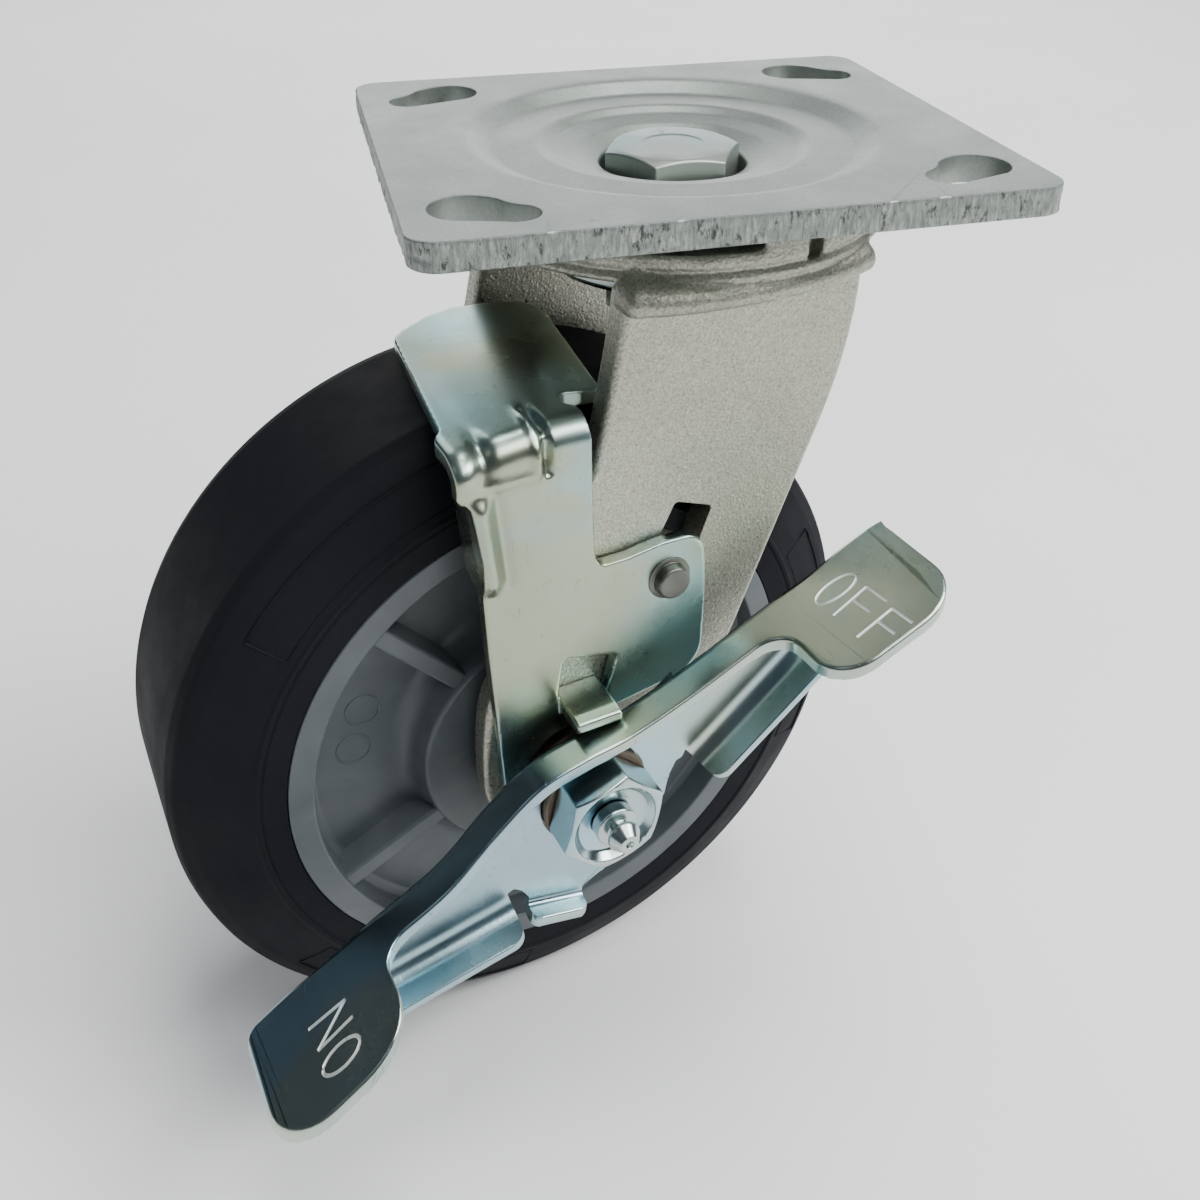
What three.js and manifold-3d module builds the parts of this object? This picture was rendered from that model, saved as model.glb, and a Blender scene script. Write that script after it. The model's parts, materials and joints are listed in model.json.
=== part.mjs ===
// Heavy-duty swivel plate castor used as a gate wheel, with a side toggle brake.
// Frame: origin on the kingpin axis at the top plate's upper face, +Z up, plate edges along X and Y.
// Millimetres throughout. The brake is on: the shoe's pad lies on the tread.

import * as THREE from 'three';
import { mergeVertices } from 'three/addons/utils/BufferGeometryUtils.js';
import Module from 'manifold-3d';

const wasm = await Module();
wasm.setup();

// ---- driving dimensions -------------------------------------------------------------------

const GAP = 0.3;                    // running and assembly clearance
const SHEET = 3;                    // brake shoe sheet
const LEVER_SHEET = 2.5;            // brake lever sheet
const SWIVEL_DEG = 12.7;            // how far the fork is swivelled in the rest pose

const PLATE = { x: 114.3, y: 101.6, thick: 5.4, corner: 5.5 };
const SLOT = { wide: 6.2, narrow: 4.1 };
const SLOT_CENTRES = {
  front: { wide: [46, -35.8], narrow: [38.3, -40.4] },
  back: { wide: [38.6, 37.6], narrow: [47, 32.9] },
};
const DISH = { rim: 39.5, floor: 36.4, depth: 2.3, inner: 25.6, pocket: 14.4, pocketZ: -13, boss: 17, bossZ: -19.5 };
const KINGPIN = { shank: 7.94, flats: 23.8, headTop: -2.8, headDrop: 9.9, chamfer: 11.2, end: -40.5, nutHigh: 11.4 };

const UPPER_RACE = { radius: 31.5, ball: 3.2, z: -9.2, count: 16 };
const LOWER_RACE = { radius: 22, ball: 2.4, z: -19.6, count: 14 };
const CROWN = { radius: 41.5, bore: 18, top: -10.8, under: -16, hub: -18.5, rimTop: -8.3, rimIn: 37.5 };
const SKIRT = { left: -28, right: 23, bulge: 7.4, bottom: -20.6 };
const RELIEVED_DEG = [[-150, -96], [30, 84]];
const NOTCHES_DEG = [[-83, -78], [97, 102]];
const CUP = { radius: 26.8, top: -19.8, bottom: -24.8 };

const AXLE = { x: -40.8, z: -115.5, shank: 6.35, flats: 19.05, headIn: 46.5, headOut: 54.4, end: 49, turnDeg: 16 };
const AXLE_NUT_HIGH = 11.5;
const WASHER = { outer: 12, thick: 2 };
const THRUST_OUTER = 15;
const BUSHING = { shoulder: 13, shoulderIn: 38, neck: 9.2 };
const LEG = { inner: 27.8, thick: 6.3, end: 18.3 };
const WHEEL = { radius: 75, treadHalf: 17.2, faceHalf: 25.4, rimOut: 54.5, rimIn: 49.5, ribs: 5, segments: 48 };
const HUB = { boss: 26.2, bossRoot: 29.3, web: 18.4, recess: 22.5, recessDepth: 1.5, bore: 16.8 };
const BEARING = { roller: 2.1, pitch: 12.2, count: 12, half: 22, sleeve: 9.5 };

const PIVOT = { x: -20.5, z: -75.6, shank: 4.6, neck: 3.5, head: 7, tip: 40 };
const SHOE = { near: 37.4, left: -62, flangeLeft: -59.6, neckRight: -36.4, bottom: -108, clear: 11.6, tab: 45.8 };
const PAD = { under: 75.4, fromDeg: 72, toDeg: 108, near: 26.5, far: 22 };
const BEND = { radius: 5.2, top: -37.4 };
const LEVER = { web: 42, flange: 50.3, pedal: 69.6, hole: 11.35, lower: 51, lip: 48.4, on: -71.2, off: 66.5 };

const LEG_OUTER = LEG.inner + LEG.thick;
const BOLT_HOLE = AXLE.shank + GAP;

// ---- materials ----------------------------------------------------------------------------

const finish = (color, roughness, metalness) => new THREE.MeshStandardMaterial({ color, roughness, metalness });
const SATIN_ZINC = finish(0x9ba19c, 0.45, 0.9);
const BLASTED_ZINC = finish(0xaeb0a6, 0.6, 0.85);
const BRIGHT_ZINC = finish(0xb8c6cc, 0.22, 1.0);
const BARE_STEEL = finish(0x8d8578, 0.4, 0.9);
const DARK_STEEL = finish(0x6f6a66, 0.5, 0.9);
const BLACK_RUBBER = finish(0x24262b, 0.75, 0.0);
const GREY_PLASTIC = finish(0x74777c, 0.55, 0.0);

// ---- solids -------------------------------------------------------------------------------

/** Turns a closed three.js geometry into a solid whose faces point out. */
function solid(geometry) {
  const bare = geometry.clone();
  bare.deleteAttribute('normal');
  bare.deleteAttribute('uv');
  const merged = mergeVertices(bare, 1e-4);
  const source = merged.index.array;
  const triangles = [];
  for (let i = 0; i < source.length; i += 3) {
    const [a, b, c] = [source[i], source[i + 1], source[i + 2]];
    if (a !== b && b !== c && c !== a) triangles.push(a, b, c);
  }
  const vertProperties = Float32Array.from(merged.attributes.position.array);
  const build = (list) => new wasm.Manifold(new wasm.Mesh({
    numProp: 3,
    vertProperties,
    triVerts: Uint32Array.from(list),
  }));
  const made = build(triangles);
  return made.volume() > 0 ? made : build(triangles.reverse());
}

const join = (first, ...rest) => rest.reduce((sum, next) => sum.add(next), first);
const cut = (first, ...tools) => tools.reduce((left, tool) => left.subtract(tool), first);

/** Makes the named mesh of one sub-part from its solid. */
function piece(name, made, material) {
  const mesh = made.getMesh();
  const geometry = new THREE.BufferGeometry();
  const positions = new Float32Array(mesh.numVert * 3);
  for (let i = 0; i < mesh.numVert; i += 1) {
    for (let k = 0; k < 3; k += 1) positions[3 * i + k] = mesh.vertProperties[mesh.numProp * i + k];
  }
  geometry.setAttribute('position', new THREE.BufferAttribute(positions, 3));
  geometry.setIndex(new THREE.BufferAttribute(Uint32Array.from(mesh.triVerts), 1));
  geometry.computeVertexNormals();
  const result = new THREE.Mesh(geometry, material);
  result.name = name;
  return result;
}

/** Extrudes an outline between two levels; the basis says where outline x, outline y and depth go. */
function prism(shape, from, to, basis, curveSegments) {
  const geometry = new THREE.ExtrudeGeometry(shape, { depth: to - from, bevelEnabled: false, curveSegments });
  geometry.translate(0, 0, from);
  geometry.applyMatrix4(new THREE.Matrix4().makeBasis(...basis));
  return solid(geometry);
}

const X = new THREE.Vector3(1, 0, 0);
const Y = new THREE.Vector3(0, 1, 0);
const Z = new THREE.Vector3(0, 0, 1);
const prismX = (shape, from, to, curveSegments = 8) => prism(shape, from, to, [Y, Z, X], curveSegments);
const prismZ = (shape, from, to, curveSegments = 8) => prism(shape, from, to, [X, Y, Z], curveSegments);

/** Extrudes an x-z outline along y, between y = -far and y = -near. */
function prismY(shape, near, far, curveSegments = 8) {
  return prism(shape, near, far, [X, Z, Y.clone().negate()], curveSegments);
}

const outline = (points) => new THREE.Shape(points.map(([a, b]) => new THREE.Vector2(a, b)));

/** Turns a closed profile of (radius, height) points about the z axis. */
function turned(points, segments = 36) {
  const closed = [...points, points[0]].map(([r, h]) => new THREE.Vector2(r, h));
  const geometry = new THREE.LatheGeometry(closed, segments);
  geometry.rotateX(Math.PI / 2);
  return solid(geometry);
}

/** The same about the y axis: points are (radius, y). */
const turnedY = (points, segments = 24) => turned(points, segments).rotate([-90, 0, 0]);

/** Points of a circular groove or crest seen in a profile, from angle to angle in degrees. */
function arcPoints(radius, cx, cy, fromDeg, toDeg, steps) {
  return Array.from({ length: steps + 1 }, (_, i) => {
    const angle = THREE.MathUtils.degToRad(fromDeg + ((toDeg - fromDeg) * i) / steps);
    return [cx + radius * Math.cos(angle), cy + radius * Math.sin(angle)];
  });
}

/** Hexagonal prism about the z axis, with corners on its x axis, chamfered at its top end. */
function hexagon(flats, from, to, chamferTop) {
  const corner = flats / Math.sqrt(3);
  const shape = outline(arcPoints(corner, 0, 0, 0, 300, 5));
  const drop = (corner - chamferTop) * 0.36;
  const cone = [[0, from - 1], [corner + 1, from - 1], [corner + 1, to - drop - 0.36], [chamferTop, to], [0, to]];
  return prismZ(shape, from, to).intersect(turned(cone, 36));
}

const ring = (inner, outer, from, to) => [[inner, from], [outer, from], [outer, to], [inner, to]];
const rod = (radius, from, to) => [[0, from], [radius, from], [radius, to], [0, to]];

// ---- top plate and kingpin ----------------------------------------------------------------

function roundedRectangle(width, height, radius) {
  const shape = new THREE.Shape();
  const [a, b] = [width / 2, height / 2];
  shape.moveTo(-a + radius, -b);
  shape.lineTo(a - radius, -b);
  shape.absarc(a - radius, -b + radius, radius, -Math.PI / 2, 0);
  shape.lineTo(a, b - radius);
  shape.absarc(a - radius, b - radius, radius, 0, Math.PI / 2);
  shape.lineTo(-a + radius, b);
  shape.absarc(-a + radius, b - radius, radius, Math.PI / 2, Math.PI);
  shape.lineTo(-a, -b + radius);
  shape.absarc(-a + radius, -b + radius, radius, Math.PI, Math.PI * 1.5);
  return shape;
}

/** Teardrop bolt slot from a wide end to a narrow end; its -Y side is smooth, its +Y side an S-curve. */
function slotOutline(wide, narrow) {
  const along = new THREE.Vector2().subVectors(narrow, wide);
  const reach = along.length() * 0.6;
  along.normalize();
  const out = new THREE.Vector2(along.y, -along.x).multiplyScalar(along.x > 0 ? 1 : -1);
  const angle = Math.atan2(out.y, out.x);
  const at = (centre, r, side, shift) => centre.clone().addScaledVector(out, r * side).addScaledVector(along, shift);
  const start = at(wide, SLOT.wide, 1, 0);
  const far = at(narrow, SLOT.narrow, 1, 0);
  const back = at(wide, SLOT.wide, -1, 0);
  const backLead = at(wide, SLOT.wide, -1, reach);
  const narrowLead = at(narrow, SLOT.narrow, -1, -reach);
  const clockwise = along.x < 0;
  const shape = new THREE.Shape();
  shape.moveTo(start.x, start.y);
  shape.lineTo(far.x, far.y);
  shape.absarc(narrow.x, narrow.y, SLOT.narrow, angle, angle + (clockwise ? -Math.PI : Math.PI), clockwise);
  shape.bezierCurveTo(narrowLead.x, narrowLead.y, backLead.x, backLead.y, back.x, back.y);
  shape.absarc(wide.x, wide.y, SLOT.wide, angle + Math.PI, angle + (clockwise ? 0 : 2 * Math.PI), clockwise);
  return shape;
}

function plateSlots() {
  const at = ([x, y], side) => new THREE.Vector2(side * x, y);
  return Object.values(SLOT_CENTRES).flatMap(({ wide, narrow }) => [1, -1].map((side) => (
    prismZ(slotOutline(at(wide, side), at(narrow, side)), -PLATE.thick - 1, 1)
  )));
}

/** Upper ball groove in the plate's underside, from outside in. */
function grooveInUnderside(race, faceZ) {
  const radius = race.ball + GAP;
  const half = THREE.MathUtils.radToDeg(Math.asin((faceZ - race.z) / radius));
  return arcPoints(radius, race.radius, race.z, half, 180 - half, 4);
}

/** Ball groove in a face that looks up, from inside out. */
function grooveInTop(race, faceZ) {
  const radius = race.ball + GAP;
  const half = THREE.MathUtils.radToDeg(Math.asin((race.z - faceZ) / radius));
  return arcPoints(radius, race.radius, race.z, 180 + half, 360 - half, 4);
}

function topPlate() {
  const under = -PLATE.thick - DISH.depth;
  const slab = prismZ(roundedRectangle(PLATE.x, PLATE.y, PLATE.corner), -PLATE.thick, 0);
  const bulge = turned([
    [0, -1], [DISH.rim + 3, -1], [DISH.rim + 3, -PLATE.thick + 0.2], [DISH.rim - 0.5, under],
    ...grooveInUnderside(UPPER_RACE, under),
    [26, under], [20, -12], [DISH.boss, -14], [DISH.boss, DISH.bossZ], [0, DISH.bossZ],
  ]);
  const dish = turned([
    [0, 1], [0, DISH.pocketZ], [DISH.pocket, DISH.pocketZ], [DISH.pocket, -5.7], [DISH.pocket + 1, -5.2],
    [DISH.inner - 1.5, -2.9], [DISH.inner, -DISH.depth], [DISH.floor, -DISH.depth], [DISH.rim, 0],
    [DISH.rim + 1, 1],
  ]);
  const hole = turned(rod(KINGPIN.shank + GAP, DISH.bossZ - 1, 0), 24);
  return cut(join(slab, bulge), dish, hole, ...plateSlots());
}

function kingpinBolt() {
  const under = KINGPIN.headTop - KINGPIN.headDrop;
  const head = hexagon(KINGPIN.flats, under, KINGPIN.headTop, KINGPIN.chamfer);
  const shank = turned([
    [0, KINGPIN.end], [KINGPIN.shank - 1, KINGPIN.end], [KINGPIN.shank, KINGPIN.end + 1],
    [KINGPIN.shank, under + 1], [0, under + 1],
  ], 24);
  return join(head, shank);
}

function kingpinNut() {
  const top = CUP.bottom - GAP;
  const body = hexagon(KINGPIN.flats, -top, -top + KINGPIN.nutHigh, KINGPIN.chamfer).rotate([180, 0, 0]);
  return cut(body, turned(rod(KINGPIN.shank + GAP, top - KINGPIN.nutHigh - 1, top + 1), 24));
}

/** Lower race cup, clamped under the plate's boss by the kingpin nut. */
function lowerRaceCup() {
  const lip = CUP.top - 0.4;
  return turned([
    [KINGPIN.shank + GAP, CUP.top], [LOWER_RACE.radius - 2.7, CUP.top],
    ...grooveInTop(LOWER_RACE, CUP.top),
    [CUP.radius - 0.6, lip], [CUP.radius, lip - 0.6], [CUP.radius, CUP.bottom + 1.2],
    [CUP.radius - 1.6, CUP.bottom], [KINGPIN.shank + GAP, CUP.bottom],
  ], 36);
}

/** Balls held in one flat cage ring. */
function ballRing(race) {
  const cage = turned(ring(race.radius - 1.1, race.radius + 1.1, race.z - 0.45, race.z + 0.45), 32);
  const balls = Array.from({ length: race.count }, (_, i) => {
    const angle = (2 * Math.PI * i) / race.count;
    const ball = new THREE.SphereGeometry(race.ball, 6, 4);
    ball.translate(race.radius * Math.cos(angle), race.radius * Math.sin(angle), race.z);
    return solid(ball);
  });
  return join(cage, ...balls);
}

// ---- fork ---------------------------------------------------------------------------------

/** Sector of the crown's rim as a cutting prism. */
function rimSector(fromDeg, toDeg, bottom) {
  const inner = arcPoints(CROWN.rimIn, 0, 0, toDeg, fromDeg, 6);
  const outer = arcPoints(CROWN.radius + 3, 0, 0, fromDeg, toDeg, 6);
  return prismZ(outline([...outer, ...inner]), bottom, CROWN.rimTop + 2);
}

/** Half-moon skirt that closes the crown over the outside of one leg. */
function crownSkirt(side) {
  const face = LEG_OUTER + GAP;
  const { left, right, bulge, bottom } = SKIRT;
  const half = (right - left) / 2;
  const radius = (half * half + bulge * bulge) / (2 * bulge);
  const centre = face + bulge - radius;
  const spread = THREE.MathUtils.radToDeg(Math.asin(half / radius));
  const points = arcPoints(radius, (left + right) / 2, centre, 90 - spread, 90 + spread, 14);
  const shape = outline(points.map(([x, y]) => [x, side * y]));
  return prismZ(shape, bottom, CROWN.under + 0.8);
}

function forkCrown() {
  const disc = turned([
    [CROWN.bore, -14.8], [23.5, -11.4], [26, CROWN.top],
    ...grooveInTop(UPPER_RACE, CROWN.top),
    [38, CROWN.top], [38.2, CROWN.rimTop], [CROWN.radius - 0.8, CROWN.rimTop], [CROWN.radius, CROWN.rimTop - 0.8],
    [CROWN.radius, CROWN.under + 0.9], [CROWN.radius - 1.4, CROWN.under], [27.3, CROWN.under],
    [26.5, CROWN.hub],
    ...arcPoints(LOWER_RACE.ball + GAP, LOWER_RACE.radius, LOWER_RACE.z, 24, 156, 4),
    [CROWN.bore, CROWN.hub],
  ], 40);
  const relieved = RELIEVED_DEG.map(([from, to]) => rimSector(from, to, CROWN.top));
  const notches = NOTCHES_DEG.map(([from, to]) => rimSector(from, to, CROWN.top - 3.5));
  return cut(join(disc, crownSkirt(-1), crownSkirt(1)), ...relieved, ...notches);
}

function legOutline() {
  const shape = new THREE.Shape();
  shape.moveTo(-28, CROWN.under - GAP);
  shape.quadraticCurveTo(-30, -32, -34.6, -49.5);
  shape.lineTo(-56.4, -93.5);
  shape.quadraticCurveTo(-59.1, -99, AXLE.x - LEG.end, AXLE.z);
  shape.absarc(AXLE.x, AXLE.z, LEG.end, Math.PI, Math.PI * 1.7);
  shape.quadraticCurveTo(-9, -113, -1, -91.5);
  shape.lineTo(15.3, -52.4);
  shape.quadraticCurveTo(23, -34, 22.6, CROWN.under - GAP);
  return shape;
}

const hole = (x, z, radius, near, far) => turnedY(rod(radius, -far, -near), 24).translate([x, 0, z]);

function nearLeg() {
  const window = outline([[-17.4, -61.3], [-9.4, -64.4], [-12.8, -73.2], [-20.9, -68.2]]);
  return cut(
    prismY(legOutline(), LEG.inner, LEG_OUTER, 6),
    hole(AXLE.x, AXLE.z, BOLT_HOLE, LEG.inner - 1, LEG_OUTER + 1),
    hole(PIVOT.x, PIVOT.z, PIVOT.shank + GAP, LEG.inner - 1, LEG_OUTER + 1),
    prismY(window, LEG.inner - 1, LEG_OUTER + 1),
  );
}

function farLeg() {
  return cut(
    prismY(legOutline(), -LEG_OUTER, -LEG.inner, 6),
    hole(AXLE.x, AXLE.z, BOLT_HOLE, -LEG_OUTER - 1, -LEG.inner + 1),
  );
}

/** Hexagon bolt head or nut on the axle line, from y = near to y = far, chamfered at its outer end. */
function axleHexagon(near, far, outward) {
  const body = hexagon(AXLE.flats, near, far, AXLE.flats / 2 - 0.5).rotate([0, 0, AXLE.turnDeg]);
  return body.rotate([outward > 0 ? -90 : 90, 0, 0]);
}

function axleBolt() {
  const head = axleHexagon(AXLE.headIn, AXLE.headOut, -1);
  const shank = turnedY([
    [0, -AXLE.headIn - 1], [AXLE.shank, -AXLE.headIn - 1], [AXLE.shank, AXLE.end - 1],
    [AXLE.shank - 1, AXLE.end], [0, AXLE.end],
  ]);
  const recess = turnedY([
    [0, -AXLE.headOut - 1], [8.7, -AXLE.headOut - 1], [8.4, -AXLE.headOut], [4.6, -AXLE.headOut + 2.4],
    [2.6, -AXLE.headOut + 2.4], [2.6, -AXLE.headOut + 9], [0, -AXLE.headOut + 9],
  ]);
  return cut(join(head, shank), recess).translate([AXLE.x, 0, AXLE.z]);
}

function greaseNipple() {
  const tip = -AXLE.headOut - 5.6;
  return turnedY([
    [0, tip], [1.9, tip], [3, tip + 1.4], [3, tip + 2.6], [2, tip + 3.2], [2, tip + 4.4], [3.3, tip + 4.8],
    [3.3, tip + 7.6], [2.3, tip + 7.7], [2.3, tip + 13], [0, tip + 13],
  ], 16).translate([AXLE.x, 0, AXLE.z]);
}

function axleNut() {
  const from = LEG_OUTER + GAP + WASHER.thick + GAP;
  return cut(
    axleHexagon(from, from + AXLE_NUT_HIGH, 1),
    turnedY(rod(BOLT_HOLE, from - 1, from + AXLE_NUT_HIGH + 1)),
  ).translate([AXLE.x, 0, AXLE.z]);
}

const onAxle = (points, segments) => turnedY(points, segments).translate([AXLE.x, 0, AXLE.z]);

function axleWasher() {
  const from = LEG_OUTER + GAP;
  return onAxle(ring(BOLT_HOLE, WASHER.outer, from, from + WASHER.thick), 32);
}

/** Collar on the axle that the brake lever turns on; the bolt head clamps it. */
function leverBushing() {
  const outer = -AXLE.headIn + GAP;
  const barrel = LEVER.hole - 0.35;
  return onAxle([
    [BOLT_HOLE, outer], [barrel, outer], [barrel, -LEVER.web + GAP], [BUSHING.shoulder, -LEVER.web + GAP],
    [BUSHING.shoulder, -BUSHING.shoulderIn], [BUSHING.neck, -BUSHING.shoulderIn], [BUSHING.neck, -LEG_OUTER - GAP],
    [BOLT_HOLE, -LEG_OUTER - GAP],
  ], 36);
}

/** Rivet that the brake shoe turns on, with a broad head inside the leg. */
function pivotRivet() {
  const inside = -LEG.inner + GAP;
  return turnedY([
    [0, -PIVOT.tip], [PIVOT.neck - 0.5, -PIVOT.tip], [PIVOT.neck, -PIVOT.tip + 0.6], [PIVOT.neck, -LEG_OUTER + 0.5],
    [PIVOT.shank, -LEG_OUTER + 0.5], [PIVOT.shank, inside], [PIVOT.head, inside], [PIVOT.head - 0.6, inside + 1.9],
    [0, inside + 1.9],
  ]).translate([PIVOT.x, 0, PIVOT.z]);
}

// ---- brake shoe ---------------------------------------------------------------------------

function shoeBodyOutline() {
  const shape = new THREE.Shape();
  shape.moveTo(SHOE.left, -43);
  shape.lineTo(SHOE.left, -45);
  shape.lineTo(SHOE.flangeLeft, -47.4);
  shape.lineTo(SHOE.flangeLeft, -68.4);
  shape.lineTo(-57.9, -81.4);
  shape.lineTo(-56.8, SHOE.bottom);
  shape.absarc(AXLE.x, AXLE.z, SHOE.clear, Math.PI * (5 / 6), Math.PI / 3, true);
  shape.lineTo(-20, -99.5);
  shape.quadraticCurveTo(-12.7, -99.5, -12.7, -91);
  shape.lineTo(-12.4, -77);
  shape.quadraticCurveTo(-12.6, -67.8, -22, -67.3);
  shape.lineTo(-29.3, -68.3);
  shape.quadraticCurveTo(-35.6, -68.6, -36, -62);
  shape.lineTo(SHOE.neckRight, -43);
  return shape;
}

/** Bend from the upright body in over the tyre's shoulder, as a y-z outline. */
function shoeBendOutline() {
  const shape = new THREE.Shape();
  const [outer, inner] = [-SHOE.near, -SHOE.near + SHEET];
  const turnZ = BEND.top - BEND.radius;
  shape.moveTo(outer, -46);
  shape.lineTo(outer, turnZ);
  shape.absarc(outer + BEND.radius, turnZ, BEND.radius, Math.PI, Math.PI / 2, true);
  shape.lineTo(-24, BEND.top);
  shape.lineTo(-24, BEND.top - SHEET);
  shape.lineTo(outer + BEND.radius, BEND.top - SHEET);
  shape.absarc(outer + BEND.radius, turnZ, BEND.radius - SHEET, Math.PI / 2, Math.PI, false);
  shape.lineTo(inner, -46);
  return shape;
}

/** Pad that follows the tread, trimmed to its tapered plan with a rounded far edge. */
function shoePad() {
  const under = arcPoints(PAD.under, AXLE.x, AXLE.z, PAD.toDeg, PAD.fromDeg, 14);
  const over = arcPoints(PAD.under + SHEET, AXLE.x, AXLE.z, PAD.fromDeg, PAD.toDeg, 14);
  const sheet = prismY(outline([...under, ...over]), -PAD.far, PAD.near);
  const plan = new THREE.Shape();
  plan.moveTo(-60.2, -26.5);
  plan.lineTo(-55.4, 12.5);
  plan.quadraticCurveTo(-54.6, 16, -49, 18.2);
  plan.quadraticCurveTo(-38, 21.4, -28, 19.6);
  plan.quadraticCurveTo(-22, 18.6, -22.2, 13);
  plan.lineTo(-28.9, -25);
  plan.lineTo(-37, -26.5);
  return sheet.intersect(prismZ(plan, -60, -30));
}

function brakeShoe() {
  const [near, inner] = [SHOE.near, SHOE.near - SHEET];
  const window = outline([[-43, -87], [-31.8, -90], [-34.4, -98.6], [-44.6, -95.8]]);
  const sideFlange = outline([
    [-37.2, -47.6], [-31.5, -48.6], [-29.7, -51], [-29.6, -65.5], [-35.5, -67.8], [-37.2, -68.2],
  ]);
  const tab = outline([[-44.4, -95.8], [-34.8, -95.8], [-34.8, -98.8], [-44.4, -98.8]]);
  const body = cut(
    prismY(shoeBodyOutline(), inner, near),
    prismY(window, inner - 1, near + 1),
    hole(PIVOT.x, PIVOT.z, PIVOT.neck + GAP, inner - 1, near + 1),
  );
  return join(
    body,
    prismX(shoeBendOutline(), SHOE.left, SHOE.neckRight),
    shoePad(),
    prismX(sideFlange, SHOE.flangeLeft, SHOE.flangeLeft + SHEET),
    prismY(tab, inner, SHOE.tab),
  );
}

// ---- brake lever --------------------------------------------------------------------------

/** Top surface of the lever's flange and pedals, from the ON pedal's end to the OFF pedal's end. */
const LEVER_LINE = new THREE.SplineCurve([
  [-73.4, -31], [-60.4, -22.2], [-47.4, -13.4], [-33, -5.2], [-22.8, 4.2], [-13.5, 11.6], [-4, 14.6],
  [5.6, 16.5], [20, 21.8], [38.2, 30.1], [53, 36.4], [68.2, 42.9],
].map(([x, z]) => new THREE.Vector2(x, z)));

/** Points of that line moved down into the sheet by a depth, between two x positions. */
function leverLine(depth, fromX, toX) {
  const steps = 44;
  const points = Array.from({ length: steps + 1 }, (_, i) => {
    const t = i / steps;
    const tangent = LEVER_LINE.getTangent(t);
    const point = LEVER_LINE.getPoint(t);
    return [point.x + tangent.y * depth, point.y - tangent.x * depth];
  });
  return points.filter(([x]) => x >= fromX && x <= toX);
}

/** Plan outline of the flange and both pedals, seen from above, x along the lever. */
function leverPlan() {
  const shape = new THREE.Shape();
  const { on, off } = LEVER;
  shape.moveTo(on, -LEVER.web);
  shape.lineTo(off, -LEVER.web);
  shape.lineTo(off, -61);
  shape.quadraticCurveTo(off, -LEVER.pedal, off - 9, -LEVER.pedal);
  shape.lineTo(46, -LEVER.pedal);
  shape.quadraticCurveTo(38.4, -LEVER.pedal, 38.4, -63);
  shape.lineTo(38.4, -56);
  shape.quadraticCurveTo(38.4, -LEVER.flange, 31.5, -LEVER.flange);
  shape.lineTo(-41, -LEVER.flange);
  shape.quadraticCurveTo(-46, -51, -46, -57);
  shape.lineTo(-46, -61);
  shape.quadraticCurveTo(-46, -LEVER.pedal, -56, -LEVER.pedal);
  shape.lineTo(-62, -LEVER.pedal);
  shape.quadraticCurveTo(on, -68.8, on, -61);
  return shape;
}

function leverWebOutline() {
  const top = leverLine(LEVER_SHEET / 2, -61, 58);
  return outline([
    ...top,
    [58, 26.5], [47, 17], [26, -1.6], [23.2, -4], [20.4, -1.4], [18, -3.6], [15.8, -8.1], [2, -21.9],
    [-3, -24.2], [-3.4, -27], [-15.2, -24.2], [-16.6, -22.2], [-18, -24.2], [-42.3, -29.9], [-59, -33.2],
    [-62, -30.6],
  ]);
}

function brakeLever() {
  const strip = outline([...leverLine(0, -99, 99), ...leverLine(LEVER_SHEET, -99, 99).reverse()]);
  const top = prismY(strip, LEVER.web, LEVER.pedal + 1).intersect(prismZ(leverPlan(), -40, 50));
  const web = prismY(leverWebOutline(), LEVER.web, LEVER.web + LEVER_SHEET);
  const lowerOn = outline([[-59, -31.6], [-18, -23.3], [-17.5, -25.8], [-58.5, -34.1]]);
  const lowerOff = outline([[24, -1.8], [58, 25.8], [59.6, 23.8], [25.6, -3.8]]);
  const lip = outline([[-15, -22.9], [-3.2, -25.7], [-3.8, -28.2], [-15.6, -25.4]]);
  const made = join(
    top,
    web,
    prismY(lowerOn, LEVER.web, LEVER.lower),
    prismY(lowerOff, LEVER.web, LEVER.lower),
    prismY(lip, LEVER.web, LEVER.lip),
  );
  return cut(made, turnedY(rod(LEVER.hole, -48, -40), 36)).translate([AXLE.x, 0, AXLE.z]);
}

// ---- wheel --------------------------------------------------------------------------------

const mirrored = (half) => [...half, ...half.map(([r, y]) => [r, -y]).reverse()];

function wheelTyre() {
  const seat = WHEEL.rimOut + 0.1;
  return turnedY(mirrored([
    [58.1, 19.96], [seat, 23.96], [seat, 25.1], [60.3, WHEEL.faceHalf], [66, 23], [71.6, 20.2],
    [74.2, 18.4], [WHEEL.radius, WHEEL.treadHalf - 0.8],
  ]), WHEEL.segments);
}

/** Ribs between the hub boss and the rim ring, on both faces of the web. */
function coreRibs() {
  const ribs = [];
  for (let i = 0; i < WHEEL.ribs; i += 1) {
    for (const side of [-1, 1]) {
      const box = new THREE.BoxGeometry(WHEEL.rimIn - HUB.boss, WHEEL.faceHalf - HUB.web + 0.4, 4);
      box.translate((WHEEL.rimIn + HUB.boss) / 2 + 1, side * ((WHEEL.faceHalf + HUB.web) / 2 - 0.6), 0);
      box.rotateY(THREE.MathUtils.degToRad(-133 - (360 / WHEEL.ribs) * i));
      ribs.push(solid(box));
    }
  }
  return ribs;
}

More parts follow.
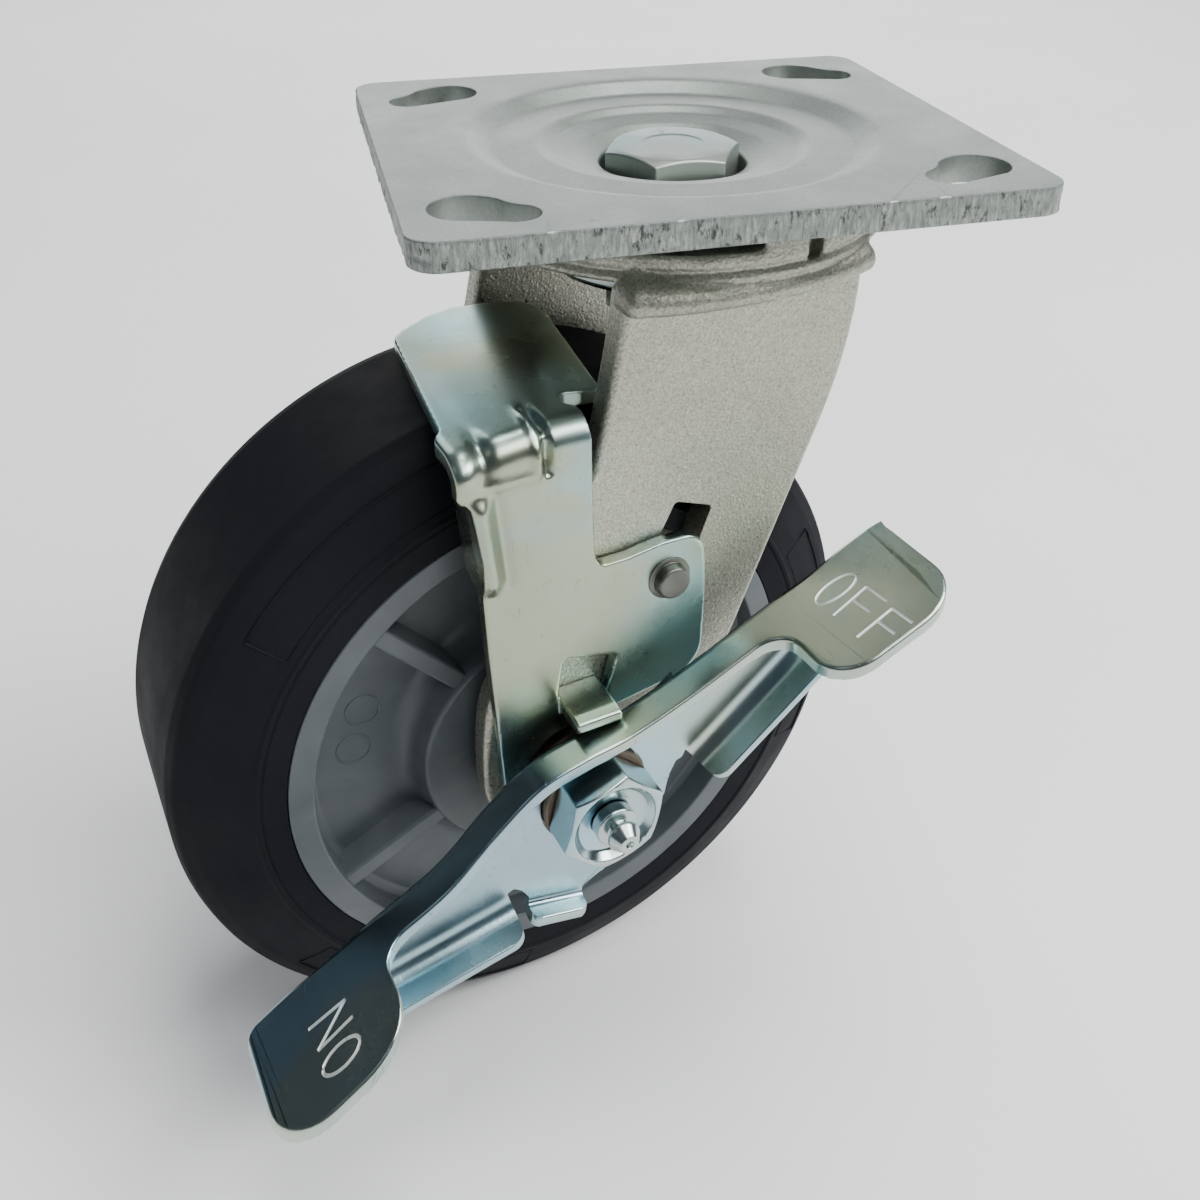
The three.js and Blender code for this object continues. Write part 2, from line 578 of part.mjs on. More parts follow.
function wheelCore() {
  const floor = WHEEL.faceHalf - HUB.recessDepth;
  const body = turnedY(mirrored([
    [HUB.bore, floor], [HUB.recess, floor], [HUB.recess, WHEEL.faceHalf], [HUB.boss, WHEEL.faceHalf],
    [HUB.bossRoot - 0.4, HUB.web + 1], [HUB.bossRoot + 1, HUB.web], [WHEEL.rimIn - 1.6, HUB.web],
    [WHEEL.rimIn - 0.4, HUB.web + 1.2], [WHEEL.rimIn, WHEEL.faceHalf], [WHEEL.rimOut, WHEEL.faceHalf],
    [WHEEL.rimOut, 23.9], [58, 19.9],
  ]), WHEEL.segments);
  return join(body, ...coreRibs());
}

/** Rollers joined by the two end rings of their cage. */
function rollerBearing() {
  const ends = [-1, 1].map((side) => {
    const [a, b] = [side * BEARING.half, side * (BEARING.half - 2)].sort((p, q) => p - q);
    return turnedY(ring(BEARING.pitch - 1.8, BEARING.pitch + 1.8, a, b), 24);
  });
  const rollers = Array.from({ length: BEARING.count }, (_, i) => {
    const angle = (2 * Math.PI * i) / BEARING.count;
    const roller = new THREE.CylinderGeometry(BEARING.roller, BEARING.roller, 2 * BEARING.half - 2, 8);
    roller.translate(BEARING.pitch * Math.cos(angle), 0, BEARING.pitch * Math.sin(angle));
    return solid(roller);
  });
  return join(...ends, ...rollers);
}

const hubRace = () => turnedY(ring(14.8, HUB.bore - GAP, -BEARING.half - 0.5, BEARING.half + 0.5), 32);

/** Ring about the axle line between two distances from the wheel's mid plane, on one side. */
function sideRing(inner, outer, near, far, side) {
  const [from, to] = side > 0 ? [near, far] : [-far, -near];
  return turnedY(ring(inner, outer, from, to), 32);
}

// ---- assembly -----------------------------------------------------------------------------

const castor = new THREE.Group();
const fork = new THREE.Group();
const wheel = new THREE.Group();
fork.rotation.z = THREE.MathUtils.degToRad(SWIVEL_DEG);
wheel.position.set(AXLE.x, 0, AXLE.z);
castor.add(fork);
fork.add(wheel);

castor.add(
  piece('top_plate', topPlate(), SATIN_ZINC),
  piece('kingpin_bolt', kingpinBolt(), BRIGHT_ZINC),
  piece('kingpin_nut', kingpinNut(), BRIGHT_ZINC),
  piece('lower_race_cup', lowerRaceCup(), BRIGHT_ZINC),
);

fork.add(
  piece('upper_ball_ring', ballRing(UPPER_RACE), DARK_STEEL),
  piece('lower_ball_ring', ballRing(LOWER_RACE), DARK_STEEL),
  piece('fork_crown', forkCrown(), BLASTED_ZINC),
  piece('fork_leg_near', nearLeg(), BLASTED_ZINC),
  piece('fork_leg_far', farLeg(), BLASTED_ZINC),
  piece('axle_bolt', axleBolt(), BRIGHT_ZINC),
  piece('grease_nipple', greaseNipple(), BRIGHT_ZINC),
  piece('axle_nut', axleNut(), BRIGHT_ZINC),
  piece('axle_washer', axleWasher(), BRIGHT_ZINC),
  piece('axle_sleeve', onAxle(ring(BOLT_HOLE, BEARING.sleeve, -LEG.inner + GAP, LEG.inner - GAP), 24), BARE_STEEL),
  piece('lever_bushing', leverBushing(), BARE_STEEL),
  piece('pivot_rivet', pivotRivet(), BARE_STEEL),
  piece('brake_shoe', brakeShoe(), BRIGHT_ZINC),
  piece('brake_lever', brakeLever(), BRIGHT_ZINC),
);

wheel.add(
  piece('wheel_core', wheelCore(), GREY_PLASTIC),
  piece('wheel_tyre', wheelTyre(), BLACK_RUBBER),
  piece('roller_bearing', rollerBearing(), DARK_STEEL),
  piece('hub_race', hubRace(), DARK_STEEL),
);

for (const [label, side] of [['near', -1], ['far', 1]]) {
  const cap = sideRing(BEARING.sleeve + GAP, HUB.recess - GAP, WHEEL.faceHalf - 1.2, WHEEL.faceHalf - 0.2, side);
  const thrust = sideRing(BEARING.sleeve + GAP, THRUST_OUTER, WHEEL.faceHalf + 0.15, LEG.inner - 0.25, side);
  wheel.add(piece(`bearing_cap_${label}`, cap, DARK_STEEL));
  fork.add(piece(`thrust_washer_${label}`, thrust.translate([AXLE.x, 0, AXLE.z]), BRIGHT_ZINC));
}

export default castor;
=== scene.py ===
"""Detailed visual model of a swivel gate wheel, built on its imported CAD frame."""
import json
from math import atan2, cos, degrees, exp, hypot, pi, radians, sin, sqrt, tan

import bmesh
import bpy
from mathutils import Matrix, Vector, noise


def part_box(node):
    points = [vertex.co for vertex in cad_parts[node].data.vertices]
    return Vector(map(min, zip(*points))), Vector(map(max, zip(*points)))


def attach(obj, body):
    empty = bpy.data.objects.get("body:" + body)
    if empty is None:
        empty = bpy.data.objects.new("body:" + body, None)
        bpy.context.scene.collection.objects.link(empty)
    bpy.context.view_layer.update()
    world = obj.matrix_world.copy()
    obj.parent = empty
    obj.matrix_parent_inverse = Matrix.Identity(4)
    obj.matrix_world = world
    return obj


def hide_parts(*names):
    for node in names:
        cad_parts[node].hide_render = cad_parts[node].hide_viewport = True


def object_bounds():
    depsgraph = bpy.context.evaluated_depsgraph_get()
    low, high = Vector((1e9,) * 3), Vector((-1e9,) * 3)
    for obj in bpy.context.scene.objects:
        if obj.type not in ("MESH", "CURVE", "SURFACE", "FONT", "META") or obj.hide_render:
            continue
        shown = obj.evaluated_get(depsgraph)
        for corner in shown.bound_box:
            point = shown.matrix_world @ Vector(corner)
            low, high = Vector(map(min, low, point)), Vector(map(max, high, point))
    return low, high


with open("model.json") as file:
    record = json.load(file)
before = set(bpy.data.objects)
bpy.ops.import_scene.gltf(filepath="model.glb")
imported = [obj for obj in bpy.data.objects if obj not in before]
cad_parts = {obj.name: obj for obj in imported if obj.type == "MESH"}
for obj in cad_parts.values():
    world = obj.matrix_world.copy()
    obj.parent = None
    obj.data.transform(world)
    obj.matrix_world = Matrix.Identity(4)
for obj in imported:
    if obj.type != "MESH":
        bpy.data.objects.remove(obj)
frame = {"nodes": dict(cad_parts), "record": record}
CAD_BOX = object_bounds()

# ---- frame: shapes are worked in millimetres and placed in metres ----

MM = 0.001
JOINTS = {joint["name"]: joint for joint in frame["record"]["behaviour"]["joints"]}
AXIS = Vector(JOINTS["wheel_spin"]["axis"])
FORK = Matrix.Rotation(atan2(-AXIS.x, AXIS.y), 4, "Z")
TO_FORK = FORK.inverted()
AXLE = (TO_FORK @ Vector(JOINTS["wheel_spin"]["pos_m"])) / MM
RIVET = (TO_FORK @ Vector(JOINTS["brake_shoe_swing"]["pos_m"])) / MM
WHEEL = FORK @ Matrix.Translation(AXLE * MM)
PLACEMENT = {"plate": Matrix.Identity(4), "fork": FORK, "shoe": FORK, "lever": WHEEL, "wheel": WHEEL}
PLATE_BOX = [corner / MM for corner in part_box("top_plate")]
TYRE_BOX = [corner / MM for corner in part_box("wheel_tyre")]

PLATE_THICK = 5.4
KINGPIN_FLATS = 23.8          # hexagons: across flats, and radius of the chamfer's circle
KINGPIN_CHAMFER = 11.2
AXLE_FLATS = 19.05
AXLE_TURN = 16                # degrees that the axle's hexagons are turned
UPPER_RACE = (31.5, -9.2)     # radius and height of the centres of the balls
LOWER_RACE = (22, -19.6)
UPPER_GROOVE, LOWER_GROOVE = 3.5, 2.7
UPPER_BALL, LOWER_BALL = 3.2, 2.4
LEG_INNER = 27.8
LEG_OUTER = 34.1
AXLE_BORE = 6.65
RIVET_SHANK = 3.5
SHOE_NEAR = -37.4             # near and back faces of the shoe's sheet
SHOE_SHEET = 3.0
SHOE_BACK = SHOE_NEAR + SHOE_SHEET
LEVER_WEB = -42.0             # back face of the lever's web
LEVER_SHEET = 2.5
TYRE_RADIUS = (TYRE_BOX[1].z - TYRE_BOX[0].z) / 2
RIM_FACE = 25.4               # from the wheel's mid plane
CORE_WEB = 18.4
CAP_RADIUS = 16.6


# ---- mesh helpers ----

def add_object(name, data):
    obj = bpy.data.objects.new(name, data)
    bpy.context.scene.collection.objects.link(obj)
    return obj


def new_object(name, verts, faces):
    mesh = bpy.data.meshes.new(name)
    mesh.from_pydata([tuple(v) for v in verts], [], faces)
    mesh.validate()
    build = bmesh.new()
    build.from_mesh(mesh)
    bmesh.ops.remove_doubles(build, verts=build.verts, dist=1e-5)
    bmesh.ops.recalc_face_normals(build, faces=build.faces)
    build.to_mesh(mesh)
    build.free()
    return add_object(name, mesh)


def bake(obj):
    """Applies the object's modifiers."""
    bpy.context.view_layer.update()
    graph = bpy.context.evaluated_depsgraph_get()
    mesh = bpy.data.meshes.new_from_object(obj.evaluated_get(graph))
    obj.modifiers.clear()
    old = obj.data
    obj.data = mesh
    bpy.data.meshes.remove(old)
    return obj


def modify(obj, kind, **settings):
    modifier = obj.modifiers.new(kind, kind)
    for key, value in settings.items():
        setattr(modifier, key, value)
    return bake(obj)


def combine(target, operation, *tools):
    for tool in tools:
        modify(target, "BOOLEAN", operation=operation, solver="EXACT", object=tool)
        bpy.data.objects.remove(tool)
    return target


def cut(target, *tools):
    return combine(target, "DIFFERENCE", *tools)


def union(target, *tools):
    return combine(target, "UNION", *tools)


def keep(target, *tools):
    return combine(target, "INTERSECT", *tools)


def gather(target, *others):
    """Puts the shells of several objects into one mesh."""
    build = bmesh.new()
    for obj in (target, *others):
        build.from_mesh(obj.data)
    build.to_mesh(target.data)
    build.free()
    for obj in others:
        bpy.data.objects.remove(obj)
    return target


def fused(obj, voxel, rounds):
    """Fuses overlapping shells into one skin with soft edges and fillets."""
    modify(obj, "REMESH", mode="VOXEL", voxel_size=voxel)
    return modify(obj, "SMOOTH", factor=0.5, iterations=rounds)


def bevel(obj, width, segments, angle):
    return modify(obj, "BEVEL", width=width, segments=segments, limit_method="ANGLE",
                  angle_limit=radians(angle), use_clamp_overlap=False)


def ring_angles(count):
    return [2 * pi * i / count for i in range(count)]


def arc(radius, centre, start, end, steps):
    """Points on an arc from start to end, in degrees."""
    angles = [radians(start + (end - start) * i / steps) for i in range(steps + 1)]
    return [(centre[0] + radius * cos(a), centre[1] + radius * sin(a)) for a in angles]


def curve(a, b, c, steps=8):
    """Points on the quadratic curve from a to c that is drawn towards b, without its first."""
    points = []
    for i in range(1, steps + 1):
        t = i / steps
        weights = ((1 - t) ** 2, 2 * t * (1 - t), t * t)
        points.append(tuple(sum(w * p[k] for w, p in zip(weights, (a, b, c))) for k in (0, 1)))
    return points


def rounded(points, steps=6, closed=True):
    """Outline through corners (x, y, radius), each corner rounded by an arc of its radius."""
    out = []
    count = len(points)
    for i, (x, y, radius) in enumerate(points):
        corner = Vector((x, y))
        if radius == 0 or (not closed and i in (0, count - 1)):
            out.append((x, y))
            continue
        before = Vector(points[i - 1][:2]) - corner
        after = Vector(points[(i + 1) % count][:2]) - corner
        half = before.angle(after) / 2
        reach = min(radius / tan(half), 0.49 * before.length, 0.49 * after.length)
        true_radius = reach * tan(half)
        middle = (before.normalized() + after.normalized()).normalized()
        centre = corner + middle * (true_radius / sin(half))
        first = corner + before.normalized() * reach - centre
        last = corner + after.normalized() * reach - centre
        start = atan2(first.y, first.x)
        sweep = atan2(last.y, last.x) - start
        sweep = (sweep + pi) % (2 * pi) - pi
        for k in range(steps + 1):
            a = start + sweep * k / steps
            out.append((centre.x + true_radius * cos(a), centre.y + true_radius * sin(a)))
    return out


def near_line(point, spans, limit):
    """Whether a point lies within a distance of any of the straight spans."""
    for a, b in spans:
        t = max(0.0, min(1.0, (point - a).dot(b - a) / (b - a).length_squared))
        if (a.lerp(b, t) - point).length < limit:
            return True
    return False


def band(here, there, count):
    """Faces between two closed rings of points, which start at these indices."""
    return [(here + i, here + (i + 1) % count, there + (i + 1) % count, there + i) for i in range(count)]


def loft(name, rings):
    """Solid through closed rings of the same number of points."""
    count = len(rings[0])
    last = (len(rings) - 1) * count
    verts = [point for ring in rings for point in ring]
    faces = [tuple(range(count)), tuple(range(last, last + count))]
    for start in range(0, last, count):
        faces += band(start, start + count, count)
    return new_object(name, verts, faces)


def prism(name, outline, low, high, axis="z"):
    """Solid from an outline of (x, y) along z, (x, z) along y, or (y, z) along x."""
    place = {"z": lambda a, b, h: (a, b, h),
             "y": lambda a, b, h: (a, h, b),
             "x": lambda a, b, h: (h, a, b)}[axis]
    return loft(name, [[place(a, b, h) for a, b in outline] for h in (low, high)])


def turned(name, profile, segments=96, axis="z", at=(0, 0, 0)):
    """Solid of revolution from a closed loop of (radius, height), about z or y."""
    verts, rings = [], []
    for radius, height in profile:
        spokes = 1 if radius < 1e-6 else segments
        rings.append(range(len(verts), len(verts) + spokes))
        for a in ring_angles(segments)[:spokes]:
            c, s = radius * cos(a), radius * sin(a)
            verts.append((c, s, height) if axis == "z" else (c, height, s))
    faces = []
    count = len(profile)
    for i in range(count):
        one, two = rings[i], rings[(i + 1) % count]
        if len(one) > 1 and len(two) > 1:
            faces += band(one[0], two[0], segments)
        elif len(two) > 1:
            faces += [(one[0], two[(k + 1) % segments], two[k]) for k in range(segments)]
        elif len(one) > 1:
            faces += [(one[k], one[(k + 1) % segments], two[0]) for k in range(segments)]
    return new_object(name, [Vector(v) + Vector(at) for v in verts], faces)


def cylinder(name, radius, low, high, segments=48, axis="z", at=(0, 0, 0)):
    return turned(name, [(0, low), (radius, low), (radius, high), (0, high)], segments, axis, at)


def cross_bar(name, centre, radius, low, high):
    """Cylinder across the fork, about the axle or the rivet."""
    return cylinder(name, radius, low, high, 64, "y", (centre.x, 0, centre.z))


def ring_profile(inner, outer, low, high, edge=0.3):
    corners = [(inner, low), (outer, low), (outer, high), (inner, high)]
    return rounded([(r, h, edge) for r, h in corners], 3)


def tube(name, path, radius, sides=8, closed=False):
    """Round bar along a list of points."""
    points = [Vector(p) for p in path]
    count = len(points)
    verts, faces = [], []
    for i, point in enumerate(points):
        before = points[i - 1] if (i or closed) else point
        after = points[(i + 1) % count] if (i < count - 1 or closed) else point
        along = (after - before).normalized()
        side = along.cross(Vector((0.31, 0.87, 0.39))).normalized()
        up = along.cross(side)
        for a in ring_angles(sides):
            verts.append(point + radius * (cos(a) * side + sin(a) * up))
    for i in range(count if closed else count - 1):
        faces += band(i * sides, (i + 1) % count * sides, sides)
    if not closed:
        faces += [tuple(range(sides)), tuple(range((count - 1) * sides, count * sides))]
    return new_object(name, verts, faces)


def finish_piece(obj, body, slot, material, *nodes, flat_limit=38):
    """Shades a piece, puts its mesh in its place in metres, and rides it on its body."""
    mesh = obj.data
    mesh.transform(PLACEMENT[body] @ Matrix.Scale(MM, 4))
    mesh.polygons.foreach_set("use_smooth", [True] * len(mesh.polygons))
    mesh.set_sharp_from_angle(angle=radians(flat_limit))
    mesh.materials.clear()
    mesh.materials.append(material)
    weighted = obj.modifiers.new("weighted", "WEIGHTED_NORMAL")
    weighted.keep_sharp = True
    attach(obj, body)
    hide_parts(*nodes)


def hexagon(name, flats, low, high, chamfer, turn=0.0, axis="z", at=(0, 0, 0)):
    """Hexagonal prism whose corners are turned off to a circle at its high end."""
    corner = flats / sqrt(3)
    outline = arc(corner, (0, 0), turn, turn + 300, 5)
    slope = 0.42
    drop = (corner - chamfer) * slope
    way = 1 if high > low else -1
    cone = [(0, low - way), (corner + 1, low - way), (corner + 1, high - way * (drop + slope)),
            (chamfer, high), (0, high)]
    body = prism(name, outline, min(low, high), max(low, high), axis)
    body.data.transform(Matrix.Translation(at))
    return keep(body, turned("cone", cone, 72, axis, at))


# ---- materials ----

class Shader:
    """Node builder for one procedural material, laid out in the frame's coordinates."""

    def __init__(self, name, metallic, roughness):
        self.material = bpy.data.materials.new(name)
        self.material.use_nodes = True
        self.tree = self.material.node_tree
        self.surface = self.tree.nodes["Principled BSDF"]
        self.surface.inputs["Metallic"].default_value = metallic
        self.surface.inputs["Roughness"].default_value = roughness
        self.place = self.tree.nodes.new("ShaderNodeTexCoord").outputs["Object"]
        self.normal = None

    def node(self, kind, inputs=(), **settings):
        made = self.tree.nodes.new(kind)
        for key, value in settings.items():
            setattr(made, key, value)
        for key, value in dict(inputs).items():
            if isinstance(value, bpy.types.NodeSocket):
                self.tree.links.new(value, made.inputs[key])
            else:
                made.inputs[key].default_value = value
        return made

    def noise(self, scale, detail=4.0, rough=0.55, stretch=None, turn=(0, 0, 0), distortion=0.0):
        where = self.place
        if stretch is not None:
            mapping = {"Vector": where, "Scale": stretch, "Rotation": turn}
            where = self.node("ShaderNodeMapping", mapping).outputs["Vector"]
        inputs = {"Vector": where, "Scale": scale, "Detail": detail, "Roughness": rough,
                  "Distortion": distortion}
        return self.node("ShaderNodeTexNoise", inputs).outputs["Fac"]

    def cells(self, scale):
        return self.node("ShaderNodeTexVoronoi", {"Vector": self.place, "Scale": scale}).outputs["Distance"]

    def ramp(self, value, *stops):
        """Maps a value through (position, grey or colour) stops."""
        made = self.node("ShaderNodeValToRGB", {"Fac": value})
        elements = made.color_ramp.elements
        while len(elements) < len(stops):
            elements.new(0.5)
        for element, (position, colour) in zip(elements, stops):
            element.position = position
            shade = colour if isinstance(colour, tuple) else (colour, colour, colour)
            element.color = (*shade, 1)
        return made.outputs["Color"]

    def mix(self, factor, a, b, blend="MIX"):
        made = self.node("ShaderNodeMix", data_type="RGBA", blend_type=blend)
        for key, value in (("Factor", factor), ("A", a), ("B", b)):
            socket = next(s for s in made.inputs
                          if s.name == key and (key == "Factor" or s.type == "RGBA") and s.enabled)
            if isinstance(value, bpy.types.NodeSocket):
                self.tree.links.new(value, socket)
            else:
                socket.default_value = (*value, 1) if isinstance(value, tuple) else value
        return next(s for s in made.outputs if s.type == "RGBA" and s.enabled)

    def times(self, *layers):
        """Product of colour layers, in their order."""
        product = layers[0]
        for layer in layers[1:]:
            product = self.mix(1.0, product, layer, "MULTIPLY")
        return product

    def colour(self, value):
        self.tree.links.new(value, self.surface.inputs["Base Color"])

    def roughness(self, value):
        self.tree.links.new(value, self.surface.inputs["Roughness"])

    def bump(self, height, distance_mm, strength=1.0):
        inputs = {"Height": height, "Distance": distance_mm * MM, "Strength": strength}
        if self.normal is not None:
            inputs["Normal"] = self.normal
        self.normal = self.node("ShaderNodeBump", inputs).outputs["Normal"]
        self.tree.links.new(self.normal, self.surface.inputs["Normal"])


def scratches(shader, turn, scale, length):
    """Thin streaks across the piece, 0 where there is one."""
    width = 0.008
    lines = shader.noise(scale, 2.0, 0.5, (1.0, 1.0 / length, 1.0 / length), turn, 0.4)
    streaks = shader.ramp(lines, (0.0, 1.0), (0.5 - width, 1.0), (0.5, 0.0), (0.5 + width, 1.0))
    broken = shader.ramp(shader.noise(scale * 0.7, 3, 0.6), (0.55, 1.0), (0.66, 0.0))
    return shader.mix(broken, streaks, (1.0, 1.0, 1.0))


def satin_zinc():
    """Rolled plate: grey, mottled, with a fine grain and a few dark scuffs."""
    s = Shader("satin_zinc", 0.93, 0.48)
    clouds = s.noise(28, 6, 0.65)
    base = s.ramp(clouds, (0.3, (0.265, 0.30, 0.275)), (0.55, (0.31, 0.345, 0.318)),
                  (0.75, (0.355, 0.385, 0.36)))
    scuffs = s.ramp(s.noise(120, 6, 0.75), (0.0, 1.0), (0.66, 1.0), (0.72, 0.45))
    fleck = s.ramp(s.noise(1300, 3, 0.7), (0.3, 0.84), (0.6, 1.0))
    s.colour(s.times(base, scuffs, fleck))
    s.roughness(s.ramp(s.noise(70, 6, 0.65), (0.3, 0.43), (0.7, 0.56)))
    s.bump(s.noise(1500, 3, 0.6, (1.0, 0.6, 1.0)), 0.04, 0.5)
    s.bump(s.noise(260, 4, 0.6), 0.1, 0.25)
    return s.material


def sheared_zinc():
    """Sheared edge of the plate: torn, with dark pits and vertical drag lines."""
    s = Shader("sheared_zinc", 0.9, 0.45)
    drag = s.noise(1500, 5, 0.65, (1.0, 1.0, 0.2), (0, 0, 0), 0.5)
    pits = s.ramp(s.noise(760, 5, 0.7, (1.0, 1.0, 0.45)), (0.0, 0.12), (0.36, 0.2), (0.44, 1.0))
    tone = s.ramp(drag, (0.3, (0.17, 0.19, 0.175)), (0.55, (0.29, 0.32, 0.295)),
                  (0.75, (0.43, 0.455, 0.425)))
    s.colour(s.mix(0.85, tone, pits, "MULTIPLY"))
    s.roughness(s.ramp(drag, (0.3, 0.6), (0.7, 0.35)))
    s.bump(drag, 0.3, 0.9)
    s.bump(s.noise(1900, 4, 0.6), 0.12, 0.6)
    return s.material


def blasted_zinc(name, light, warm, rough):
    """Zinc over a shot-blasted surface: sparkling grains and a few dents."""
    s = Shader(name, 0.9, 0.45)
    clouds = s.noise(20, 5, 0.6)
    dark = tuple(light * k for k in (0.80, 0.80, 0.745 - warm))
    bright = tuple(light * k for k in (1.0, 0.995, 0.93 - warm))
    base = s.ramp(clouds, (0.3, dark), (0.7, bright))
    specks = s.ramp(s.noise(2100, 3, 0.7), (0.34, 0.62), (0.5, 0.92), (0.68, 1.12))
    marks = s.ramp(s.noise(230, 6, 0.75), (0.0, 1.0), (0.67, 1.0), (0.72, 0.6))
    s.colour(s.times(base, specks, marks))
    s.roughness(s.ramp(s.noise(1700, 2, 0.5), (0.35, rough * 0.7), (0.65, rough * 1.3)))
    s.bump(s.cells(1500), 0.14, 0.5)
    s.bump(s.noise(2000, 3, 0.65), 0.13, 0.8)
    s.bump(s.noise(80, 3, 0.5), 0.5, 0.2)
    return s.material


def bright_zinc(name, cool, straw, dark, rough, tint_and_sheen_spots=()):
    """Bright zinc with a blue and straw sheen, light scratches and rubbed marks, and blue spots about given
    points: painted reflection and painted shade over the plating's own blue tint.
    """
    s = Shader(name, 1.0, rough)
    sheen = s.noise(17, 3, 0.5, distortion=0.8)
    base = s.ramp(sheen, (0.32, dark), (0.44, cool), (0.54, straw), (0.66, straw), (0.78, cool))
    # Blue spots about given points: painted reflection and painted shade, over the plating's own blue tint.
    for centre, reach in tint_and_sheen_spots:
        away = s.node("ShaderNodeVectorMath", {0: s.place, 1: centre}, operation="DISTANCE").outputs["Value"]
        share = s.node("ShaderNodeMath", {0: away, 1: reach * MM}, operation="DIVIDE").outputs[0]
        base = s.mix(s.ramp(share, (0.1, 0.8), (1.0, 0.0)), base, BLUE_TINT_AND_SHEEN)
    lines = s.times(scratches(s, (0.4, 0.3, 0.9), 420, 6), scratches(s, (1.1, 0.2, 2.1), 330, 5))
    stains = s.ramp(s.noise(520, 6, 0.72), (0.0, 1.0), (0.66, 1.0), (0.72, 0.6))
    cloudy = s.ramp(s.noise(60, 3, 0.5), (0.3, 0.9), (0.6, 1.0))
    s.colour(s.mix(0.3, s.times(base, stains, cloudy), lines, "MULTIPLY"))
    s.roughness(s.ramp(s.noise(50, 4, 0.55), (0.3, rough * 0.85), (0.7, rough * 1.3)))
    s.bump(s.noise(1100, 3, 0.55, (1.0, 0.5, 1.0)), 0.012, 0.5)
    s.bump(s.noise(110, 2, 0.5), 0.2, 0.1)
    s.bump(lines, 0.015, 0.6)
    return s.material


def oiled_steel(name, tone, rough):
    """Plain steel with an oil film and turning marks."""
    s = Shader(name, 0.9, rough)
    low, high = tuple(0.7 * t for t in tone), tone
    s.colour(s.ramp(s.noise(230, 5, 0.6), (0.3, low), (0.7, high)))
    s.roughness(s.ramp(s.noise(340, 4, 0.6), (0.3, rough * 0.8), (0.7, rough * 1.35)))
    s.bump(s.noise(1200, 3, 0.6), 0.05, 0.5)
    return s.material


def black_rubber():
    """Moulded rubber: blue-black with a brownish bloom, fine skin texture and pale dust specks."""
    s = Shader("black_rubber", 0.0, 0.5)
    s.surface.inputs["Specular IOR Level"].default_value = 0.09
    bloom = s.noise(16, 5, 0.6)
    base = s.ramp(bloom, (0.3, (0.007, 0.008, 0.011)), (0.6, (0.0105, 0.011, 0.0135)),
                  (0.8, (0.017, 0.015, 0.0145)))
    dust = s.ramp(s.noise(1300, 4, 0.75), (0.0, 0.0), (0.68, 0.0), (0.76, 0.3))
    s.colour(s.mix(dust, base, (0.08, 0.08, 0.08)))
    s.roughness(s.ramp(s.noise(50, 6, 0.7), (0.3, 0.55), (0.7, 0.75)))
    s.bump(s.noise(1700, 4, 0.6), 0.05, 0.5)
    s.bump(s.noise(60, 4, 0.5), 0.4, 0.15)
    return s.material


def grey_plastic():
    """Moulded plastic: cool grey, satin, with flow marks."""
    s = Shader("grey_plastic", 0.0, 0.42)
    flow = s.noise(40, 5, 0.6, distortion=1.2)
    s.colour(s.ramp(flow, (0.3, (0.066, 0.078, 0.084)), (0.6, (0.088, 0.102, 0.108)),
                    (0.8, (0.112, 0.124, 0.128))))
    s.roughness(s.ramp(s.noise(120, 5, 0.65), (0.3, 0.34), (0.7, 0.5)))
    s.bump(s.noise(1300, 4, 0.6), 0.05, 0.45)
    s.bump(s.noise(45, 3, 0.5), 0.3, 0.15)
    return s.material


# Blue of the spots of painted reflection and painted shade on the shoe and lever, partly the plating's own
# blue tint.
BLUE_TINT_AND_SHEEN = (0.31, 0.56, 0.60)
# Shoe spots (point, reach in mm): painted reflection on the pad, painted shade under the tab, partly the
# plating's own blue tint on the body.
SHOE_TINT_AND_SHEEN = [(FORK @ Vector(place) * MM, reach) for place, reach in (
    ((-14, -37, -90), 22), ((-34, -37, -104), 15), ((-56, -37, -112), 12), ((-60, -20, -38), 18),
    ((-44, 12, -37), 15))]
# Lever spots on its flanges: painted shade, tinted blue.
LEVER_TINT_AND_SHEEN = [(WHEEL @ Vector(place) * MM, reach) for place, reach in (
    ((8, -48, 15), 16), ((46, -49, 20), 20), ((-38, -48, -24), 18))]
SATIN = satin_zinc()
SHEARED = sheared_zinc()
BLASTED = blasted_zinc("blasted_zinc", 0.48, 0.09, 0.38)
CROWN_SKIN = blasted_zinc("forged_zinc", 0.43, 0.08, 0.46)
SHOE_ZINC = bright_zinc("shoe_zinc", (0.33, 0.46, 0.45), (0.37, 0.41, 0.305), (0.29, 0.38, 0.36), 0.26,
                        SHOE_TINT_AND_SHEEN)
LEVER_ZINC = bright_zinc("lever_zinc", (0.36, 0.52, 0.57), (0.46, 0.52, 0.45), (0.34, 0.46, 0.50), 0.23,
                         LEVER_TINT_AND_SHEEN)
BOLT_ZINC = bright_zinc("bolt_zinc", (0.38, 0.54, 0.60), (0.48, 0.55, 0.53), (0.34, 0.46, 0.51), 0.21)
HEAD_ZINC = bright_zinc("head_zinc", (0.30, 0.38, 0.38), (0.35, 0.38, 0.35), (0.27, 0.33, 0.33), 0.42)
# Light, rough zinc for the letter grooves: a painted highlight that shows the letters as bright lines.
LETTER_HIGHLIGHT = bright_zinc("letter_highlight", (0.70, 0.80, 0.82), (0.78, 0.82, 0.78), (0.66, 0.74, 0.76), 0.6)
BROWN_STEEL = oiled_steel("brown_steel", (0.16, 0.12, 0.09), 0.42)
RIVET_STEEL = oiled_steel("rivet_steel", (0.155, 0.16, 0.14), 0.36)
DARK_STEEL = oiled_steel("bearing_steel", (0.26, 0.26, 0.26), 0.3)
RUBBER = black_rubber()
PLASTIC = grey_plastic()


# ---- top plate and kingpin ----

EDGE_STEP = 0.6       # spacing of the points along the plate's torn edge, and of its rows
EDGE_ROW = 0.52
EDGE_SKIN = 0.0009    # metres inside the plate's outline that still count as its edge
EDGE_CORNER = 0.0038


